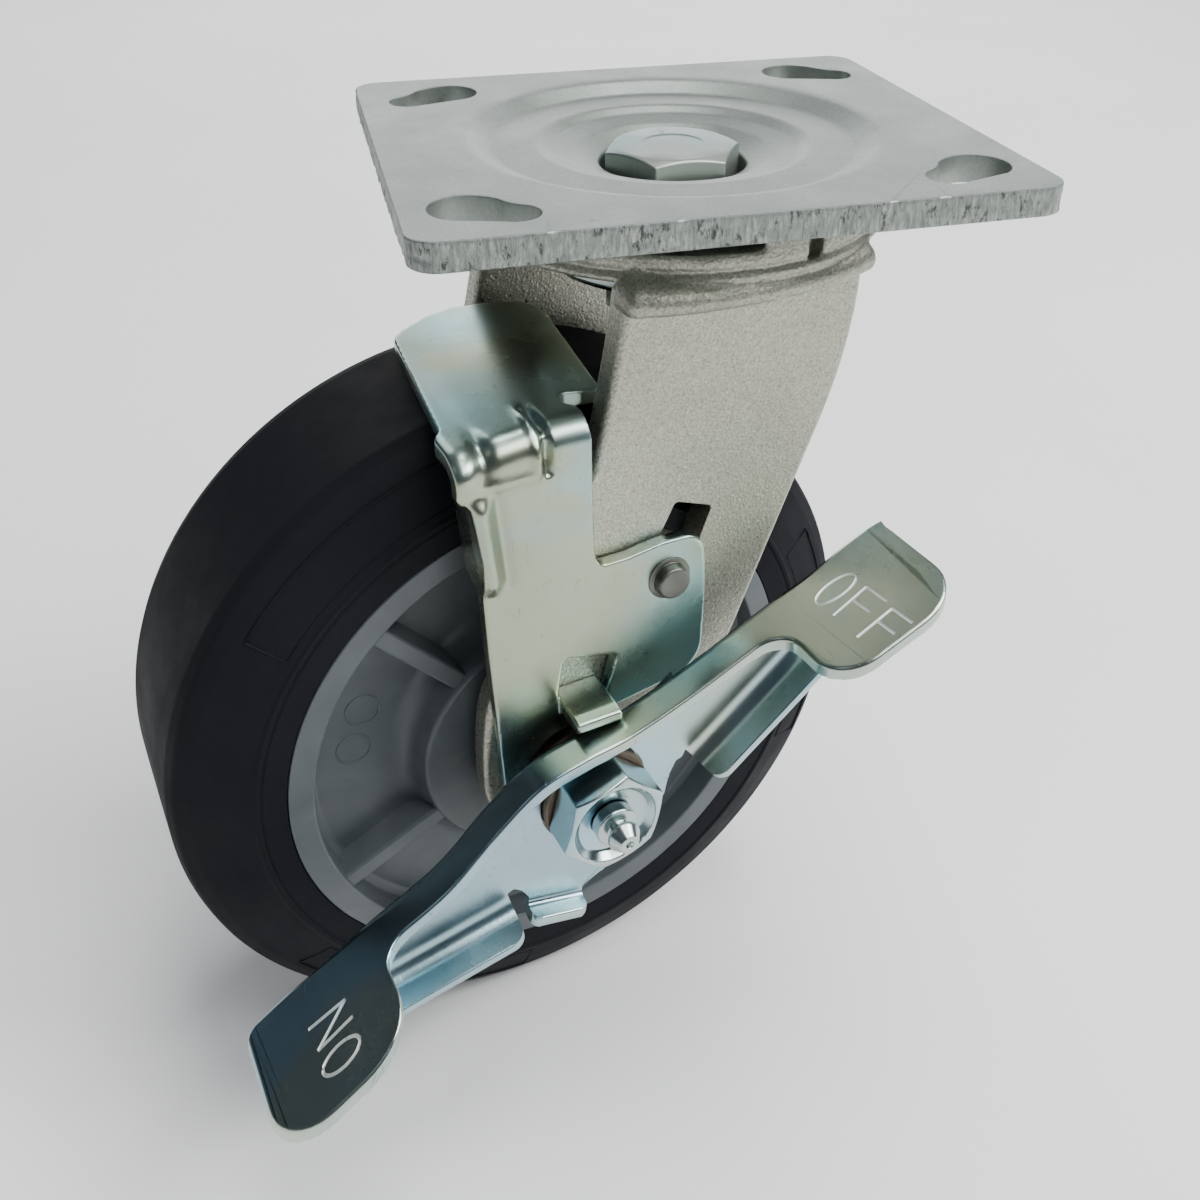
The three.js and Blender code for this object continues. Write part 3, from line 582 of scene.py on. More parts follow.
def plate_edge(distance, z):
    """How far the torn edge lies inside its true line: deeper lower down, with a few chips."""
    coarse = noise.noise(Vector((distance * 0.5, z * 0.16, 0.0)))
    fine = noise.noise(Vector((distance * 1.6, z * 0.7, 7.0)))
    chip = max(0.0, noise.noise(Vector((distance * 0.33, z * 0.5, 20.0))) - 0.25)
    low = min(1.0, max(0.25, (-z - 0.8) / 2.5))
    return 0.12 + low * (0.2 * coarse + 0.12 * fine) + 0.9 * chip * low


def plate_slab():
    half_x, half_y, corner = PLATE_BOX[1].x, PLATE_BOX[1].y, 5.5
    corners = [(x * half_x, y * half_y, corner) for x, y in ((1, 1), (-1, 1), (-1, -1), (1, -1))]
    coarse = rounded(corners, 10)
    outline = []
    for i, point in enumerate(coarse):
        start, end = Vector(point), Vector(coarse[(i + 1) % len(coarse)])
        steps = max(1, round((end - start).length / EDGE_STEP))
        outline += [start.lerp(end, k / steps) for k in range(steps)]
    levels = [(0.4, 0.0), (0.12, -0.1), (0.0, -0.35)]
    levels += [(0.0, -0.35 - EDGE_ROW * k) for k in range(1, 10)]
    levels += [(0.25, -5.25), (0.6, -PLATE_THICK)]
    count = len(outline)
    rings = []
    for inset, z in levels:
        ring = []
        for i, point in enumerate(outline):
            along = outline[(i + 1) % count] - outline[i - 1]
            outward = Vector((along.y, -along.x)).normalized()
            if outward.dot(point) < 0:
                outward = -outward
            torn = plate_edge(i * EDGE_STEP, z) if -5.2 < z < -0.3 else 0.1
            ring.append((*(point - outward * (inset + max(0.0, torn))), z))
        rings.append(ring)
    return loft("top_plate_look", rings)


def slot_outline(wide, narrow):
    """Teardrop slot: smooth on its near side, an S-curve on its far side."""
    wide_r, narrow_r = 6.2, 4.1
    wide, narrow = Vector(wide), Vector(narrow)
    reach = (narrow - wide).length * 0.6
    along = (narrow - wide).normalized()
    sign = 1 if along.x > 0 else -1
    out = Vector((along.y, -along.x)) * sign
    angle = degrees(atan2(out.y, out.x))
    back_narrow = narrow - out * narrow_r
    back_wide = wide - out * wide_r
    leads = (back_narrow - along * reach, back_wide + along * reach)
    points = arc(narrow_r, narrow, angle, angle + sign * 180, 16)
    for i in range(1, 12):
        t = i / 12
        weights = ((1 - t) ** 3, 3 * t * (1 - t) ** 2, 3 * t * t * (1 - t), t ** 3)
        point = sum((w * p for w, p in zip(weights, (back_narrow, *leads, back_wide))), Vector((0, 0)))
        points.append(tuple(point))
    return points + arc(wide_r, wide, angle + sign * 180, angle + sign * 360, 20)


def make_plate():
    slab = plate_slab()
    bulge = turned("bulge", rounded([
        (0, -1.5, 0), (42.5, -1.5, 0), (42.3, -5.2, 1), (38.6, -7.7, 1), (26, -7.7, 1),
        (20, -12, 1.5), (17, -14, 1), (17, -19.5, 0.4), (0, -19.5, 0)], 4), 128)
    dish = turned("dish", rounded([
        (0, 1, 0), (0, -13, 0), (14.4, -13, 0), (14.4, -6.4, 0.9), (19.5, -4.2, 5), (24.2, -3.4, 3),
        (26.6, -2.2, 3.5), (35.6, -2.5, 3.2), (39.6, -0.3, 3.5), (43.5, 0.25, 0), (43.5, 1, 0)], 7), 160)
    hole = cylinder("hole", 8.3, -21, 0)
    front, back = ((46, -35.8), (38.3, -40.4)), ((38.6, 37.6), (47, 32.9))
    slots = [prism("slot", slot_outline((side * wide[0], wide[1]), (side * narrow[0], narrow[1])),
                   -PLATE_THICK - 1, 1)
             for wide, narrow in (front, back) for side in (1, -1)]
    plate = cut(union(slab, bulge), dish, hole, *slots)
    bevel(plate, 0.3, 2, 62)
    finish_piece(plate, "plate", "satin_zinc", SATIN, "top_plate")
    plate.data.materials.append(SHEARED)
    edge_x, edge_y = PLATE_BOX[1].x * MM - EDGE_SKIN, PLATE_BOX[1].y * MM - EDGE_SKIN
    for face in plate.data.polygons:
        centre = face.center
        outside = abs(centre.x) > edge_x or abs(centre.y) > edge_y
        corner = abs(centre.x) + abs(centre.y) > edge_x + edge_y - EDGE_CORNER
        if (outside or corner) and abs(face.normal.z) < 0.6:
            face.material_index = 1


def make_kingpin():
    head = hexagon("kingpin_bolt_look", KINGPIN_FLATS, -12.7, -2.8, KINGPIN_CHAMFER)
    dimple = turned("dimple", rounded([
        (0, 0, 0), (0, -2.98, 0), (5.9, -2.98, 0.3), (6.5, -2.7, 0), (6.5, 0, 0)], 3), 64)
    shank = turned("shank", rounded([(0, -12, 0), (7.94, -12, 0), (7.94, -40.5, 1), (0, -40.5, 0)], 3), 64)
    bolt = bevel(cut(union(head, shank), dimple), 0.35, 3, 28)
    finish_piece(bolt, "plate", "bright_zinc", HEAD_ZINC, "kingpin_bolt")
    nut = hexagon("kingpin_nut_look", KINGPIN_FLATS, -25.1, -36.5, KINGPIN_CHAMFER)
    cut(nut, cylinder("hole", 8.2, -38, -24))
    finish_piece(bevel(nut, 0.3, 2, 28), "plate", "bright_zinc", BOLT_ZINC, "kingpin_nut")


def groove_corners(radius, centre, start, end):
    """Sharp profile corners along a ball groove."""
    return [(r, z, 0) for r, z in arc(radius, centre, start, end, 12)]


def make_races():
    groove = groove_corners(LOWER_GROOVE, LOWER_RACE, 184, 356)
    cup = turned("lower_race_cup_look", rounded([(8.25, -19.8, 0.3), (19.0, -19.8, 0.3)] + groove + [
        (26.2, -20.1, 0.3), (26.8, -20.9, 0.5), (26.8, -23.4, 0.8), (25.2, -24.8, 0.8),
        (8.25, -24.8, 0.3)], 4), 128)
    finish_piece(cup, "plate", "bright_zinc", BOLT_ZINC, "lower_race_cup")
    rows = (("upper", *UPPER_RACE, UPPER_BALL, 16), ("lower", *LOWER_RACE, LOWER_BALL, 14))
    for name, radius, z, ball, count in rows:
        section = ring_profile(radius - 1.1, radius + 1.1, z - 0.45, z + 0.45, 0.15)
        cage = turned(f"{name}_balls_look", section, 96)
        slices = [pi * k / 16 for k in range(17)]
        profile = [(ball * sin(b), -ball * cos(b)) for b in slices]
        profile[0], profile[-1] = (0, -ball), (0, ball)
        for a in ring_angles(count):
            at = (radius * cos(a), radius * sin(a), z)
            union(cage, turned("ball", profile, 32, "z", at))
        finish_piece(cage, "fork", "dark_steel", DARK_STEEL, f"{name}_ball_ring")


# ---- fork ----

def crown_skirt(side):
    """Rolled bead that closes over the outside of one leg, with a hollow shoulder above it."""
    face, left, right, bulge, depth = LEG_OUTER + 0.3, -28.8, 23.5, 7.5, 4.0
    levels = ((-20.6, 2.3), (-20.5, 1.3), (-20.0, 0.5), (-19.2, 0.1), (-18.3, 0.0), (-17.3, 0.35),
              (-16.4, 1.1), (-15.6, 2.3), (-14.9, 3.9), (-14.3, 5.6), (-13.4, 7.6))
    root = face - depth
    rings = []
    for z, inset in levels:
        half = (right - left) / 2 - 0.35 * inset
        rise = depth + (bulge - inset)
        points = [(-half, root, 0)]
        for t in range(-6, 7):
            corner = 2.0 if abs(t) == 6 else 12
            points.append((t / 6 * half, root + rise * (1 - 0.44 * abs(t / 6) ** 2.2), corner))
        points.append((half, root, 0))
        rings.append([((left + right) / 2 + x, side * y, z) for x, y in rounded(points, 4)])
    return loft("skirt", rings)


def rim_cut(start, end, bottom):
    """Cutter for a gap in the crown's upright rim, between two angles."""
    inner = arc(37.4, (0, 0), end, start, 10)
    outer = arc(46, (0, 0), start, end, 10)
    return prism("rim", outer + inner, bottom, 0)


def forge_skin(crown):
    """Presses shallow hollows into the crown's outside."""
    build = bmesh.new()
    build.from_mesh(crown.data)
    build.normal_update()
    for vertex, normal in [(v, v.normal.copy()) for v in build.verts]:
        p = vertex.co.copy()
        if hypot(p.x, p.y) > 36.5 or p.z < -17:
            rough = noise.noise(p * 0.3) * 0.14 + noise.noise(p * 1.3) * 0.04
            vertex.co = p - normal * max(0.0, rough + 0.05)
    build.to_mesh(crown.data)
    build.free()
    return crown


def make_crown():
    inner = [(18, -14.8, 0.5), (23.5, -11.4, 0.5), (26, -10.8, 0.5)]
    outer = [(37.9, -10.8, 0.6), (38.2, -8.3, 0.5), (40.7, -8.3, 0.9), (41.2, -12.9, 0.6),
             (40.3, -13.7, 0.4), (41.4, -14.6, 0.9), (41.3, -15.9, 1.0), (38.5, -16.6, 1),
             (27.3, -16.0, 1), (26.6, -18.5, 0.5)]
    groove_top = groove_corners(UPPER_GROOVE, UPPER_RACE, 207, 333)
    groove_low = groove_corners(LOWER_GROOVE, LOWER_RACE, 24, 156)
    profile = rounded(inner + groove_top + outer + groove_low + [(18, -18.5, 0.4)], 5)
    disc = turned("fork_crown_look", profile, 160)
    gaps = ((-150, -96, -10.6), (30, 84, -10.6), (-83, -78, -14), (97, 102, -14))
    cut(disc, *(rim_cut(*gap) for gap in gaps))
    crown = forge_skin(fused(gather(disc, crown_skirt(-1), crown_skirt(1)), 0.42, 3))
    finish_piece(crown, "fork", "blasted_zinc", CROWN_SKIN, "fork_crown", flat_limit=60)


def leg_outline():
    """Leg from under the crown down to its round foot about the axle."""
    ax, az, foot = AXLE.x, AXLE.z, 18.3
    top = -16.3
    left = [(-28, top)] + curve((-28, top), (-30, -32), (-34.6, -49.5)) + [(-56.4, -93.5)]
    left += curve((-56.4, -93.5), (-59.1, -99), (ax - foot, az))
    bottom = arc(foot, (ax, az), 180, 306, 24)[1:]
    right = curve(bottom[-1], (-9, -113), (-1, -91.5), 12) + [(15.3, -52.4)]
    right += curve((15.3, -52.4), (23, -34), (22.6, top))
    return left + bottom + right


def make_legs():
    near = bevel(prism("fork_leg_near_look", leg_outline(), -LEG_OUTER, -LEG_INNER, "y"), 1.5, 5, 50)
    window = rounded([(-17.4, -61.3, 0.8), (-9.4, -64.4, 0.8), (-12.8, -73.2, 0.8), (-20.9, -68.2, 0.8)], 4)
    cut(near, cross_bar("hole", AXLE, AXLE_BORE, -40, -20), cross_bar("hole", RIVET, 4.9, -40, -20),
        prism("window", window, -40, -20, "y"))
    far = bevel(prism("fork_leg_far_look", leg_outline(), LEG_INNER, LEG_OUTER, "y"), 1.5, 5, 50)
    cut(far, cross_bar("hole", AXLE, AXLE_BORE, 20, 40))
    for leg, node in ((near, "fork_leg_near"), (far, "fork_leg_far")):
        bevel(leg, 0.35, 2, 60)
        finish_piece(leg, "fork", "blasted_zinc", BLASTED, node)


def make_axle():
    at = tuple(AXLE)
    head = hexagon("axle_bolt_look", AXLE_FLATS, -46.5, -54.4, 9.3, AXLE_TURN, "y", at)
    shank = cross_bar("shank", AXLE, 6.35, -47, 49)
    recess = turned("recess", rounded([
        (0, -57, 0), (9.4, -57, 0), (8.5, -54.2, 0.6), (7.2, -52.6, 1.4), (4.8, -52.1, 0.6),
        (2.7, -52.0, 0.3), (2.7, -45, 0), (0, -45, 0)], 5), 96, "y", at)
    bolt = bevel(cut(union(head, shank), recess), 0.3, 3, 28)
    finish_piece(bolt, "fork", "bright_zinc", BOLT_ZINC, "axle_bolt")
    nut = hexagon("axle_nut_look", AXLE_FLATS, 36.7, 48.2, 9.0, AXLE_TURN, "y", at)
    cut(nut, cross_bar("hole", AXLE, 6.5, 30, 60))
    finish_piece(bevel(nut, 0.3, 2, 28), "fork", "bright_zinc", BOLT_ZINC, "axle_nut")


def make_nipple():
    """Grease nipple: each corner's height is its distance behind the tip."""
    tip = -60.0
    profile = [(r, tip + height, corner) for r, height, corner in (
        (0, 1.0, 0), (0.55, 1.0, 0.2), (0.8, 0, 0.2), (1.9, 0, 0.4), (3.3, 2.3, 0.7), (3.2, 3.0, 0.4),
        (2.1, 3.7, 0.4), (2.1, 4.5, 0.4), (4.2, 4.9, 0.4), (4.2, 7.6, 0.3), (2.3, 7.7, 0.1),
        (2.3, 13, 0), (0, 13, 0))]
    nipple = turned("grease_nipple_look", rounded(profile, 5), 64, "y", tuple(AXLE))
    finish_piece(nipple, "fork", "bright_zinc", BOLT_ZINC, "grease_nipple")


def make_axle_rings():
    bushing = rounded([
        (AXLE_BORE, -46.2, 0.3), (11, -46.2, 0.4), (11, -38, 0.5), (9.2, -38, 0), (9.2, -34.4, 0.5),
        (AXLE_BORE, -34.4, 0.3)], 4)
    rings = (
        ("axle_washer", ring_profile(6.7, 12, 34.4, 36.4), BOLT_ZINC, "bright_zinc"),
        ("thrust_washer_near", ring_profile(9.8, 15, -27.55, -25.55), BOLT_ZINC, "bright_zinc"),
        ("thrust_washer_far", ring_profile(9.8, 15, 25.55, 27.55), BOLT_ZINC, "bright_zinc"),
        ("lever_bushing", bushing, BROWN_STEEL, "bare_steel"),
    )
    for name, profile, material, slot in rings:
        ring = turned(f"{name}_look", profile, 96, "y", tuple(AXLE))
        finish_piece(ring, "fork", slot, material, name)


def make_rivet():
    rivet = turned("pivot_rivet_look", rounded([
        (0, -40, 0), (3.4, -40, 0.7), (RIVET_SHANK, -37.7, 0.2), (4.5, -37.6, 0.3), (4.5, -37.42, 0),
        (RIVET_SHANK, -37.41, 0), (RIVET_SHANK, -33.6, 0), (4.6, -33.6, 0), (4.6, -27.5, 0),
        (7, -27.5, 0.2), (6.6, -25.6, 1.0), (0, -25.3, 0)], 4), 64, "y", tuple(RIVET))
    finish_piece(rivet, "fork", "bare_steel", RIVET_STEEL, "pivot_rivet")


# ---- brake shoe ----

def hump(value, centre, width):
    return exp(-((value - centre) / width) ** 2)


def neck_press(x, z, depth):
    """How far the neck is pressed outwards, where depth is the distance from inside its bend."""
    bulge = 1.15 * hump(x, -60.3, 2.4) * hump(z, -42.5, 3.4)
    valley = 0.95 * hump(x, -56.2, 1.5) * hump(depth, 1.0, 5.0)
    left, right = 1 + exp(-(x + 58) * 2), 1 + exp((x + 47) * 2)
    crease = 0.5 * hump(z, -45.6, 1.2) * (1 / left) / right
    dart = hump(depth, 4.0, 3.6)
    slit = 2.3 * dart * max(0.0, 1 - abs(x + 44.9) / 1.3)
    lip = 0.8 * dart * hump(x, -46.9, 0.9)
    return bulge - valley + crease - slit + lip


def neck_sheet():
    """Outer skin of neck, bend and pad, with the pressed gusset and dart, as a thick sheet."""
    outer, bend, foot = 78.4, 5.2, -52
    xs = [-64 + 0.5 * i for i in range(93)]
    rows = [("body", k / 12) for k in range(12)]
    rows += [("bend", 90 * k / 14) for k in range(15)]
    rows += [("top", SHOE_NEAR + bend + 0.8 * k) for k in range(1, 66)]
    verts = []
    for kind, value in rows:
        for x in xs:
            z_top = AXLE.z + sqrt(outer ** 2 - (x - AXLE.x) ** 2)
            z_bend = z_top - bend
            if kind == "body":
                point, out = Vector((x, SHOE_NEAR, foot + (z_bend - foot) * value)), Vector((0, -1, 0))
            elif kind == "bend":
                a = radians(value)
                out = Vector((0, -cos(a), sin(a)))
                point = Vector((x, SHOE_NEAR + bend, z_bend)) + out * bend
            else:
                point, out = Vector((x, value, z_top)), Vector((0, 0, 1))
            depth = hypot(point.y - SHOE_NEAR - 1.5, point.z - z_top + 1.5)
            verts.append(point + out * neck_press(x, point.z, depth))
    count = len(xs)
    faces = [(r * count + i, r * count + i + 1, (r + 1) * count + i + 1, (r + 1) * count + i)
             for r in range(len(rows) - 1) for i in range(count - 1)]
    mesh = bpy.data.meshes.new("brake_shoe_look")
    mesh.from_pydata([tuple(v) for v in verts], [], faces)
    offset = 1 if mesh.polygons[0].normal.y > 0 else -1
    return modify(add_object("brake_shoe_look", mesh), "SOLIDIFY", thickness=SHOE_SHEET, offset=offset,
                  use_even_offset=True)


FOLD_X, FOLD_TOP, FOLD_LONG = -58.6, -45.8, 22.8      # side fold: its top end and its length
FOLD_LEAN = 2.0                                       # how far its foot lies from its top in x


def press_fold(shoe):
    """Rolls the sheet up along the side flange's fold, with a valley beside the roll."""
    for vertex in shoe.data.vertices:
        x, y, z = vertex.co
        t = (FOLD_TOP - z) / FOLD_LONG
        if not 0 < t < 1 or y > -33.5:
            continue
        rise = sin(pi * min(0.5, t / 0.36, (1 - t) / 0.36)) ** 2
        fold = FOLD_X + FOLD_LEAN * t
        vertex.co.y -= rise * (1.9 * hump(x, fold + 0.2, 1.9) - 0.7 * hump(x, fold + 3.8, 1.2))
    return shoe


def shoe_neck():
    """Neck and pad, trimmed to the pad's outline."""
    plan = rounded([
        (-62, -38.5, 0), (-62, -27.5, 1.5), (-60.2, -25.5, 1.5), (-55.2, 14.5, 5), (-46, 18.8, 4),
        (-36, 20.4, 8), (-22.6, 19.4, 4), (-22.6, 12, 4), (-28.9, -25.4, 1.6), (-33, -26.2, 0.6),
        (-37.6, -25.4, 1.3), (-37.9, -29, 1.2), (-36.4, -31, 1.5), (-36.4, -38.5, 0)], 6)
    neck = keep(neck_sheet(), prism("plan", plan, -70, -30))
    corner = [(-70, -47.0), (-61, -47.0), (-59.4, -49.5), (-59.4, -60), (-70, -60)]
    return cut(neck, prism("corner", corner, -45, -25, "y"))


def shoe_body():
    """Flat body with its ear round the rivet and its window."""
    outline = rounded([
        (-61.5, -47.8, 0), (-61.5, -46.5, 0), (-36.4, -46.5, 0), (-36.1, -64, 0), (-35.6, -68.4, 4.5),
        (-29.3, -68.3, 2), (-22, -67.2, 5), (-12.7, -67.4, 7), (-12.2, -80, 8), (-12.8, -99.5, 7.5),
        (-33.3, -102.6, 1)], 8)[:-1]
    outline += arc(11.6, (AXLE.x, AXLE.z), 62, 176, 18)
    outline += rounded([
        (-52.4, -114.5, 0), (-56.2, -114.5, 1.5), (-57.9, -81.4, 12), (-58.3, -68.6, 1.0),
        (-58.4, -60, 3), (-59.4, -52, 0), (-60, -47.8, 0)], 5)
    flat = prism("body", outline, SHOE_NEAR, SHOE_BACK, "y")
    window = rounded([(-43, -87, 0.9), (-31.8, -90, 0.9), (-34.4, -99, 0.6), (-44.6, -96.2, 0.6)], 4)
    return cut(flat, prism("window", window, -42, -30, "y"), cross_bar("hole", RIVET, 3.8, -42, -30))


def shoe_flange():
    """Side flange under the rolled fold."""
    section = rounded([
        (-55.4, SHOE_NEAR, 0), (-60.3, SHOE_NEAR, 2.4), (-60.5, -29.6, 0.8), (-57.5, -29.6, 0.8),
        (-57.4, SHOE_BACK, 0.9), (-55.4, SHOE_BACK, 0)], 6)
    side = loft("flange", [[(x + FOLD_LEAN * t, y, FOLD_TOP - FOLD_LONG * t) for x, y in section]
                           for t in (0, 0.5, 1)])
    trim = rounded([
        (-42, -45.0, 0), (-35, -45.2, 0), (-31.5, -48.4, 2.5), (-29, -51, 2), (-29, -65, 2.5),
        (-36, -68.9, 1.5), (-42, -69.4, 0)], 5)
    return keep(side, prism("trim", trim, -63, -52, "x"))


def shoe_tab():
    """Tab bent out at the foot of the window, over the lever."""
    section = rounded([
        (-34, -95.9, 0), (-43.6, -95.9, 0), (-45.9, -96.4, 0.8), (-45.9, -98.6, 0.8), (-43, -98.9, 0),
        (-38.6, -99.2, 1.2), (-36, -100.6, 0), (-34.4, -100.6, 0)], 4)
    return prism("tab", section, -44.4, -34.9, "x")


def make_shoe():
    shoe = press_fold(fused(gather(shoe_neck(), shoe_body(), shoe_flange(), shoe_tab()), 0.32, 4))
    finish_piece(shoe, "shoe", "bright_zinc", SHOE_ZINC, "brake_shoe", flat_limit=70)


# ---- brake lever ----

LEVER_KNOTS = [
    (-73.4, -31), (-60.4, -22.2), (-47.4, -13.4), (-33, -5.2), (-22.8, 4.2), (-13.5, 11.6), (-4, 14.6),
    (5.6, 16.5), (20, 21.8), (38.2, 30.1), (53, 36.4), (68.2, 42.9)]
WEB_LEFT, WEB_RIGHT = -61, 57


def lever_line(depth, steps=10):
    """The lever's top line as a smooth curve through its knots, moved down by a depth."""
    knots = [Vector(k) for k in LEVER_KNOTS]
    last = len(knots) - 1
    points = []
    for i in range(last):
        p0, p1, p2, p3 = knots[max(i - 1, 0)], knots[i], knots[i + 1], knots[min(i + 2, last)]
        for k in range(steps):
            t = k / steps
            points.append(0.5 * (2 * p1 + (p2 - p0) * t + (2 * p0 - 5 * p1 + 4 * p2 - p3) * t * t
                                 + (3 * p1 - p0 - 3 * p2 + p3) * t ** 3))
    points.append(knots[-1])
    moved = []
    for i, point in enumerate(points):
        along = (points[min(i + 1, len(points) - 1)] - points[max(i - 1, 0)]).normalized()
        moved.append((point.x + along.y * depth, point.y - along.x * depth))
    return moved


def lever_plan():
    """The bent sheet seen from above: a narrow strip between two pedals."""
    on, on_root, off_root, off = -71.2, -46, 38.4, 66.5
    strip, pedal = -50.3, -69.6
    return rounded([
        (on, LEVER_WEB, 2.5), (off, LEVER_WEB, 3.5), (off, pedal, 9.5), (off_root, pedal, 8.5),
        (off_root, strip, 6), (on_root, strip, 5), (on_root, pedal, 10), (on, pedal, 10)], 10)


def weigh_edges(obj, top):
    """Bevel weights: wide on the outer bend, middling along the rest of the top line, none in the inner
    corners or on short edges, narrow elsewhere.
    """
    build = bmesh.new()
    build.from_mesh(obj.data)
    bmesh.ops.recalc_face_normals(build, faces=build.faces)
    weight = build.edges.layers.float.new("bevel_weight_edge")
    spans = [(Vector(a), Vector(b)) for a, b in zip(top, top[1:])]

    def on_line(vertex):
        return near_line(Vector((vertex.co.x, vertex.co.z)), spans, 0.05)

    for edge in build.edges:
        if len(edge.link_faces) != 2 or edge.calc_face_angle(0) < radians(35):
            continue
        along_top = all(on_line(v) for v in edge.verts)
        x = sum(v.co.x for v in edge.verts) / 2
        if along_top and all(abs(v.co.y - LEVER_WEB) < 0.02 for v in edge.verts):
            edge[weight] = 0.25 + 0.75 * max(0.0, min(1.0, (x - WEB_LEFT) / 9, (WEB_RIGHT - x) / 9))
        elif along_top:
            edge[weight] = 0.3
        elif not edge.is_convex or edge.calc_length() < 1.0:
            edge[weight] = 0.0
        else:
            edge[weight] = 0.13
    build.to_mesh(obj.data)
    build.free()
    return obj


STROKE_POINTS = 9
STROKE_RADIUS = 0.38


def pedal_point(tilt, s, y):
    """A point just over a pedal's face: s is measured along its slope from the axle."""
    slope = Vector((cos(radians(tilt)), sin(radians(tilt))))
    line = [Vector(p) for p in lever_line(-0.1)]
    for a, b in zip(line, line[1:]):
        if a.dot(slope) <= s <= b.dot(slope):
            point = a.lerp(b, (s - a.dot(slope)) / (b - a).dot(slope))
            return Vector((point.x, y, point.y))
    return Vector((line[-1].x, y, line[-1].y))


def letter_strokes():
    """Strokes of the generic words ON and OFF, as lines of points just over the pedals."""
    on, off = 34.1, 22.8
    marks = [(on, ((-63.4, -52.2), (-54.9, -53.0))), (on, ((-63.0, -57.3), (-54.9, -53.0))),
             (on, ((-63.0, -57.3), (-54.7, -57.1))),
             (on, [(-59.2 + 4.2 * cos(a), -61.8 + 2.2 * sin(a)) for a in ring_angles(28)]),
             (off, [(60.4 + 4.8 * cos(a), -50.4 + 2.1 * sin(a)) for a in ring_angles(28)])]
    for y, drift in ((-55.4, 0.9), (-63.0, 0.5)):
        marks.append((off, ((55.9, y), (64.9, y + drift))))
        marks.append((off, ((64.9, y + drift), (65.3, y - 5))))
        marks.append((off, ((61.0, y + 0.6), (61.4, y - 4.6))))
    strokes = []
    for tilt, mark in marks:
        if len(mark) == 2:
            (s0, y0), (s1, y1) = mark
            steps = [k / (STROKE_POINTS - 1) for k in range(STROKE_POINTS)]
            mark = [(s0 + (s1 - s0) * t, y0 + (y1 - y0) * t) for t in steps]
        strokes.append([pedal_point(tilt, s, y) for s, y in mark])
    return strokes


def turned_flange(start, end, reach, radius, angle, tip, soft_end):
    """Flange bent out of the web at a line, to y = reach, with its free corners rounded by tip."""
    start, end = Vector(start), Vector(end)
    length = (end - start).length
    along = (end - start) / length
    up = Vector((-along.y, along.x))
    up *= 1 if up.y > 0 else -1
    outer = radius + LEVER_SHEET
    centre = (LEVER_WEB - outer, 0)
    outside = arc(outer, centre, 0, -angle, 10)
    inside = arc(radius, centre, -angle, 0, 10)
    turn = radians(angle)
    way = Vector((-sin(turn), -cos(turn)))
    flat = (outside[-1][0] - reach) / sin(turn)
    near_end = [tip * (1 - cos(radians(15 * k))) for k in range(7)]
    rings = []
    for s in near_end + [length - s for s in reversed(near_end)]:
        gap = min(tip, s, length - s if soft_end else tip)
        width = flat - tip + sqrt(tip ** 2 - (tip - gap) ** 2)
        low, high = Vector(outside[-1]) + way * width, Vector(inside[0]) + way * width
        edge = [tuple(low.lerp(high, t) + way * 0.35 * sin(pi * t))
                for t in (0.0, 0.12, 0.3, 0.5, 0.7, 0.88, 1.0)]
        section = [(LEVER_WEB, 1.2)] + outside + edge + inside + [(LEVER_WEB - LEVER_SHEET, 1.2)]
        point = start + along * s
        rings.append([((point + up * n).x, y, (point + up * n).y) for y, n in section])
    return loft("flange", rings)


def make_lever():
    top = lever_line(0)
    strip = prism("brake_lever_look", top + lever_line(LEVER_SHEET)[::-1], -75, LEVER_WEB, "y")
    keep(strip, prism("plan", lever_plan(), -45, 55))
    web_top = [p for p in lever_line(LEVER_SHEET / 2) if WEB_LEFT <= p[0] <= WEB_RIGHT]
    web = web_top + rounded([
        (WEB_RIGHT, 31.9, 0), (20.9, 2.5, 0), (19.9, 0.6, 0.7), (18.5, 0.2, 0.7), (17.0, -3.4, 3),
        (15.8, -8.1, 6), (2, -21.9, 4), (-2.8, -24.3, 0), (-14.5, -21.5, 0), (-15.8, -19.2, 0.8),
        (-17.6, -17.3, 0.8), (-19.0, -18.0, 0), (-60, -26.2, 0), (-62, -26.0, 0)], 6, closed=False)
    parts = [prism("web", web, LEVER_WEB - LEVER_SHEET, LEVER_WEB, "y"),
             turned_flange((-19.0, -18.3), (-60, -26.6), -51, 4.5, 76, 3.0, False),
             turned_flange((20.7, 2.2), (56, 30.8), -51, 4.5, 76, 3.0, False),
             turned_flange((-2.9, -24.6), (-14.6, -21.8), -48.4, 1.3, 88, 1.8, True)]
    lever = cut(union(strip, *parts), cylinder("hole", 11.35, -48, -40, 96, "y"))
    weigh_edges(lever, top)
    modify(lever, "BEVEL", width=2.4, segments=4, limit_method="WEIGHT", use_clamp_overlap=False)
    strokes = letter_strokes()
    cut(lever, *(tube("letter", stroke, STROKE_RADIUS, 8, len(stroke) > STROKE_POINTS) for stroke in strokes))
    spans = [(a, b) for stroke in strokes for a, b in zip(stroke, stroke[1:] + stroke[:1])]
    near = {v.index for v in lever.data.vertices if near_line(v.co, spans, STROKE_RADIUS + 0.03)}
    grooves = [near.issuperset(face.vertices) and near_line(face.center, spans, STROKE_RADIUS * 0.985)
               for face in lever.data.polygons]
    finish_piece(lever, "lever", "bright_zinc", LEVER_ZINC, "brake_lever")
    # The letters' groove faces take the painted highlight material.
    lever.data.materials.append(LETTER_HIGHLIGHT)
    for face, groove in zip(lever.data.polygons, grooves):
        face.material_index = 1 if groove else 0


# ---- wheel ----

def both_sides(half):
    """Closes a profile of (radius, y, corner) given for y above 0 with its mirror image."""
    return half + [(r, -y, c) for r, y, c in reversed(half)]


